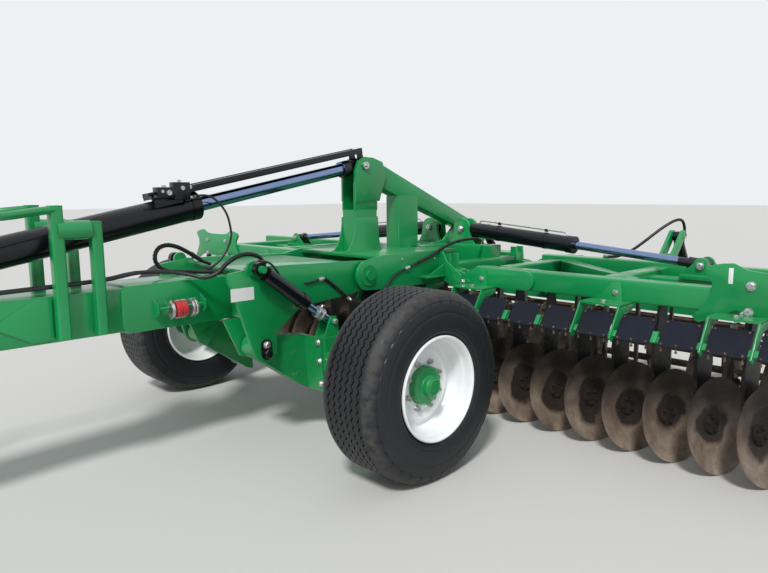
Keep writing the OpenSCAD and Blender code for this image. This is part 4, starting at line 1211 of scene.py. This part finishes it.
def addStands():
    bm = bmesh.new()
    inner, outer = f["barHalf"], f["barHalf"] + 65
    rail = outer + 75
    squareTube(bm, (inner, -1535, 870), (outer, -1470, 1570), 12)
    squareTube(bm, (inner, -1335, 870), (outer, -1275, 1483), 12)
    addRod(bm, at(inner + 32, -1505, 1440), at(inner + 32, -1335, 1440), 0.050, sides=40)
    line = [(outer - 24, -1490, 1551), (rail - 72, -1610, 1540), (rail - 14, -1745, 1526),
            (rail, -1900, 1520), (rail, -2300, 1520), (rail, -2710, 1520)]
    addTube(bm, smoothLine([at(*p) for p in line], 5), 0.021, 20)
    block(bm, (rail - 45, -2740, 1480), (rail + 45, -2700, 1560), 0.004)
    plateXZ(bm, -2720, 24, [(150, 850), (190, 850), (rail + 20, 1490), (rail - 30, 1490), (150, 1010)])
    mirrored(bm)
    piece = closePiece("stand_weldment", bm, "greenEnamel", "chassis")
    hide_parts("wing_stands")


addTower()
addCentreFrame()
addChassis()
addDrawbar()
addStands()
for label in ("left", "right"):
    addWingFrame(label, label == "right")
print("welded frames built")


hoopBolt = {"slotX": 125, "y": 1111, "z": 941, "size": 0.017, "gussetX": 152, "gussetZ": 992}

# wing end plate: bolts as (x, z, size) on its front face, and the outer end the same about the middle
wingPlate = {
    "face": 1204, "middle": 2865.8,
    "bolts": [(2673, 1105, 0.024), (2668, 958, 0.024), (2600, 872, 0.018), (2640, 945, 0.014)],
    "label": (2556, 1108, 2580, 1196), "labelThick": 1.2,
}


def addWingFasteners(label, flipped):
    body = "wing_" + label
    bm, ends = bmesh.new(), bmesh.new()
    addShieldBolts(ends, shieldSet, [(gapX(k) + shieldSet["gap"], shieldSet["width"]) for k in range(10)])
    h = hoopBolt
    gussets = {0: frontFace - 24, 4: frontFace}
    for k in (0, 4, 7):
        addBolt(bm, at(gapX(k) + h["slotX"], h["y"], h["z"]), (0, 0, 1), h["size"], tail=0.03)
        if k in gussets:
            addBolt(bm, at(gapX(k) + h["gussetX"], gussets[k] - 12, h["gussetZ"]), (0, -1, 0), h["size"])
    for y in (f["frontY"], f["rearY"]):
        for way in (-1, 1):
            addBolt(bm, at(f["hingeX"], y + 95 * way, f["hingeZ"]), (0, way, 0), 0.022)
    p = wingPlate
    for x, z, size in p["bolts"]:
        for px in (x, 2 * p["middle"] - x):
            addBolt(bm, at(px, p["face"], z), (0, -1, 0), size)
    # both ends of the pin in the wing ram's rod eye
    x, y, z = pins["wingEye"]
    for way in (-1, 1):
        addBolt(bm, at(x, y + 75 * way, z), (0, way, 0), 0.024)
    closePiece("wing_bolts_" + label, bm, "zincPlate", body, flipped)
    closePiece("shield_ends_" + label, ends, "soiledSteel", body, flipped)

    bm = bmesh.new()
    x1, z1, x2, z2 = p["label"]
    addBlock(bm, at(x1, p["face"] - p["labelThick"], z1), at(x2, p["face"], z2), 0.0005)
    closePiece("blank_label_" + body, bm, "labelVinyl", body, flipped)


for label in ("left", "right"):
    addWingFasteners(label, label == "right")


chassisSet = {
    "rodX": 200, "rodZ": 965, "rodRadius": 9,
    "rings": [("red", -884, -851), ("red", -849, -816), ("silver", -915, -897), ("silver", -786, -769),
              ("silver", -764, -749)],
    "ringOut": 48, "ringIn": 24,
    "keeperX": 447.2,
    "label": (-652, 990, -492, 1068),
    "sideFace": 442.5, "labelThick": 1.2,
    "sleeve": ((318, -450, 1169.5), (340, -450, 1175.5)),
}


def addChassisDetails(s):
    silver, red, black = bmesh.new(), bmesh.new(), bmesh.new()
    for side in (1, -1):
        for colour, y1, y2 in s["rings"]:
            # C-shaped stops that hang on the rod, with a hinge knuckle on top and a clip below
            drop = s["ringIn"] - s["rodRadius"] - 0.3
            profile = [(s["ringIn"], 0), (s["ringOut"] - 3, 0), (s["ringOut"], 3),
                       (s["ringOut"], y2 - y1 - 3), (s["ringOut"] - 3, y2 - y1), (s["ringIn"], y2 - y1)]
            where = lineUp(at(s["rodX"] * side, y1, s["rodZ"] - drop), (0, 1, 0))
            target = red if colour == "red" else silver
            addLathe(target, [(r / 1000, h / 1000) for r, h in profile], where, 40, closed=True)
            for dz in (s["ringOut"] + 3, -s["ringOut"] - 2):
                addRod(silver if colour == "red" else target,
                       at(s["rodX"] * side, y1 + 2, s["rodZ"] - drop + dz),
                       at(s["rodX"] * side, y2 - 2, s["rodZ"] - drop + dz), 0.006, sides=12)
        # oval keeper over each arm pivot, held by one bolt
        pivot = at(s["keeperX"] * side, *pins["arm"][1:])
        outline = [(38 * math.cos(a) / 1000, (38 * math.sin(a) + (26 if math.sin(a) >= 0 else -26)) / 1000)
                   for a in (2 * math.pi * k / 32 for k in range(32))]
        turn = Matrix.Translation(pivot) @ Matrix.Rotation(math.radians(90 * side), 4, "Y") \
            @ Matrix.Rotation(math.radians(90 * side), 4, "Z")
        addPlate(black, outline, turn, 0.008, 0.001)
        addBolt(silver, pivot + Vector((0.008 * side, 0, 0.028)), (side, 0, 0), 0.024)
        addBolt(black, pivot + Vector((0.008 * side, 0, -0.026)), (side, 0, 0), 0.036)
        # bright sleeve where each lift hose leaves the deck
        a, b = s["sleeve"]
        addRod(silver, at(a[0] * side, *a[1:]), at(b[0] * side, *b[1:]), 0.0105, sides=16)
    closePiece("ram_stops_red", red, "redNylon", "chassis")
    closePiece("chassis_fasteners", silver, "zincPlate", "chassis")
    closePiece("pin_keepers", black, "blackEnamel", "chassis")

    bm = bmesh.new()
    y1, z1, y2, z2 = s["label"]
    for side in (1, -1):
        addBlock(bm, at(s["sideFace"] * side, y1, z1), at((s["sideFace"] + s["labelThick"]) * side, y2, z2))
    closePiece("blank_label_chassis", bm, "labelVinyl", "chassis")


addChassisDetails(chassisSet)
print("wing and chassis details added")


def addCentreDetails():
    bm, ends = bmesh.new(), bmesh.new()
    spans = [(gapX(k) + 25, 205) for k in (-2, -1)]
    spans += [(-x - w, w) for x, w in spans] + [(-190, 380)]
    addShieldBolts(ends, shieldSet, spans)
    h = hoopBolt
    for side in (1, -1):
        addBolt(bm, at((gapX(-2) + h["slotX"]) * side, h["y"], h["z"]), (0, 0, 1), h["size"], tail=0.03)
        # keeper bolts on the wing rams' base pins
        x, y, z = pins["wingBase"]
        for way in (-1, 1):
            addBolt(bm, at(x * side, y + 75 * way, z), (0, way, 0), 0.026)
        # the tower pin's bright head
        y, z = pins["tower"][1:]
        head = at(105 * side, y, z)
        addRod(bm, at(97 * side, y, z), head, 0.030, 0.028, 28)
        addBolt(bm, head, (side, 0, 0), 0.016, washer=False)
        for y, z in ((980, 1120), (1120, 1120), (760, 1140)):
            addBolt(bm, at(478 * side, y, z), (side, 0, 0), 0.012)
    closePiece("centre_bolts", bm, "zincPlate", "centre")
    closePiece("shield_ends_centre", ends, "soiledSteel", "centre")


# three bolts down the sloping front of each axle flange, and one on the pin of each lift ram
axleFlange = {"x": 538, "zs": (672, 545, 392), "topY": -85, "topZ": 700, "run": 25, "drop": 360,
              "pinEndX": 582}


def addAxleBolts(s):
    bm = bmesh.new()
    slope = Vector((0, -s["drop"], -s["run"])).normalized()
    for side in (1, -1):
        for z in s["zs"]:
            y = s["topY"] + (s["topZ"] - z) * s["run"] / s["drop"]
            addBolt(bm, at(s["x"] * side, y, z), slope, 0.020)
        addBolt(bm, at(s["pinEndX"] * side, *pins["liftEye"][1:]), (side, 0, 0), 0.018)
    closePiece("axle_bolts", bm, "zincPlate", "axle")


# places along each lift ram's rod from its eye, in metres
liftClamp = {
    "body": (0.070, 0.128), "radius": 0.036, "bands": ((0.074, 0.084), (0.112, 0.122)), "bandRadius": 0.041,
    "earAt": 0.099, "earRise": 0.020, "earHalf": 0.018,
}


def addLiftClamps(s):
    # bright clamp round each lift ram's rod, just above its eye
    top, low = at(*pins["liftTop"]), at(*pins["liftEye"])
    way = (top - low).normalized()
    up = Vector((0, way.z, -way.y))
    up = up if up.z > 0 else -up
    bm = bmesh.new()
    for side in (1, -1):
        m = Matrix.Identity(4) if side > 0 else mirrorX
        for (a, b), radius in [(s["body"], s["radius"])] + [(band, s["bandRadius"]) for band in s["bands"]]:
            addRod(bm, m @ (low + way * a), m @ (low + way * b), radius, sides=28)
        ear = m @ (low + way * s["earAt"] + up * s["radius"])
        rise, half = up * s["earRise"], Vector((s["earHalf"], 0, 0))
        addRod(bm, ear, ear + rise, 0.008, sides=12)
        addRod(bm, ear + rise - half, ear + rise + half, 0.005, sides=10)
    closePiece("lift_rod_clamps", bm, "zincPlate", "lift_rods")


# the pipe as places along the wing ram from its base and up from its axis, in metres
wingPipe = {
    "start": [(0.150, 0.056), (0.150, 0.074), (0.165, 0.083), (0.190, 0.085)],
    "step": 0.07, "steps": 10,
    "end": [(0.950, 0.085), (0.975, 0.081), (0.985, 0.068), (0.987, 0.055)],
    "clamps": (0.35, 0.80), "clampRing": [(0.050, -0.011), (0.0655, -0.011), (0.0655, 0.011), (0.050, 0.011)],
    "clampUp": 0.081, "clampHalf": 0.011,
}


def addWingPipes(s):
    # pipe and its clamps along the top of each wing ram
    base, eye = at(*pins["wingBase"]), at(*pins["wingEye"])
    along = (eye - base).normalized()
    up = Vector((-along.z, 0, along.x))
    up = up if up.z > 0 else -up
    x, z = s["start"][-1]
    places = s["start"] + [(x + s["step"] * k, z) for k in range(1, s["steps"] + 1)] + s["end"]
    line = [base + along * x + up * z for x, z in places]
    for label in ("left", "right"):
        pipe, black = bmesh.new(), bmesh.new()
        addTube(pipe, smoothLine(line, 2), 0.006, 12)
        for place in s["clamps"]:
            addLathe(black, s["clampRing"], lineUp(base + along * place, along), 48, closed=True)
            mid = base + along * place + up * s["clampUp"]
            addRod(black, mid - along * s["clampHalf"], mid + along * s["clampHalf"], 0.012, sides=16)
        flipped = label == "right"
        closePiece("wing_ram_pipe_" + label, pipe, "zincPlate", "wing_barrel_" + label, flipped, sharp=60)
        closePiece("wing_ram_clamps_" + label, black, "blackEnamel", "wing_barrel_" + label, flipped)


# flange outline along the lock channel from the tower pin and up from the ram's axis, in metres
lockChannel = {
    "half": 54, "thick": 9,
    "flange": [(-0.022, 0.090), (1.702, 0.090), (1.702, 0.131), (-0.022, 0.131)],
}


def addLockFlanges(s):
    # deeper flanges of the lock channel, over the CAD bar and clear of the barrel that slides under it
    pin, base = at(*pins["tower"]), at(*pins["mainBase"])
    along = (base - pin).normalized()
    up = Vector((0, along.z, -along.y))
    bm = bmesh.new()
    for x in (-s["half"], s["half"]):
        corners = [pin + along * a + up * h for a, h in s["flange"]]
        plateYZ(bm, x, s["thick"], [(1000 * p.y - axleY * 1000, 1000 * p.z) for p in corners], 0.002)
    closePiece("lock_flanges", bm, "blackEnamel", "main_rod")


# the lock valve beside the main ram; each plug has a foot, a direction, a radius and a length
lockValve = {
    "plate": (66, 8, [(-905, 1510), (-725, 1548), (-725, 1640), (-905, 1612)]),
    "blocks": [((62, -915, 1600), (132, -805, 1664)), ((64, -810, 1590), (126, -705, 1694))],
    "port": ((97, -900, 1632), (97, -962, 1620)),
    "fitting": ((90, -706, 1600), (90, -690, 1603)),
    "plugs": [((104, -705, 1664), (0, 1, -0.1), 0.014, 0.016), ((82, -705, 1648), (0, 1, -0.1), 0.012, 0.014),
              ((126, -760, 1660), (1, 0, 0), 0.014, 0.014), ((132, -850, 1632), (1, 0, 0), 0.017, 0.016),
              ((132, -890, 1640), (1, 0, 0), 0.010, 0.012), ((95, -760, 1694), (0, 0, 1), 0.012, 0.014),
              ((97, -860, 1664), (0, 0, 1), 0.015, 0.012)],
}


def addLockValve(s):
    bm = bmesh.new()
    plateYZ(bm, *s["plate"])
    for a, b in s["blocks"]:
        block(bm, a, b, 0.004)
    addRod(bm, *(at(*p) for p in s["port"]), 0.010, sides=20)
    closePiece("valve_block", bm, "blackEnamel", "main_barrel")
    bm = bmesh.new()
    addRod(bm, *(at(*p) for p in s["fitting"]), 0.011, sides=6)
    for place, way, radius, length in s["plugs"]:
        foot = at(*place)
        addRod(bm, foot, foot + Vector(way).normalized() * length, radius, sides=6)
    closePiece("valve_plugs", bm, "zincPlate", "main_barrel")


addCentreDetails()
addAxleBolts(axleFlange)
addLiftClamps(liftClamp)
addWingPipes(wingPipe)
addLockFlanges(lockChannel)
addLockValve(lockValve)
print("centre, axle and ram details added")

# which finish each kind of node takes, by the start of its name; the first that fits is used
nodeFinishes = [
    (("lock_bar", "main_barrel", "lift_barrels", "wing_barrel", "roller_barrel"), "blackEnamel"),
    (("lift_rods", "roller_rod"), "chromePlate"), ("main_rod", "mainRodChrome"),
    ("wing_rod", "wingRodChrome"), ("jack_leg", "zincPlate"),
    ("tyre", "tyreRubber"), ("rim", "whiteEnamel"),
    (("centre_shields", "shields"), "shieldEnamel"), (("centre_legs", "legs"), "legEnamel"),
    (("centre_discs", "discs"), "wornDiscSteelPaintedShade"),
    ("roller_arms", "greenEnamel"), ("roller", "soiledSteel"), ("", "greenEnamel"),
]

for nodeName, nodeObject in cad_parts.items():
    finish = next(f for start, f in nodeFinishes if nodeName.startswith(start))
    nodeObject.data.materials.clear()
    nodeObject.data.materials.append(finishes[finish])
print("finishes given to", len(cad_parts), "nodes")
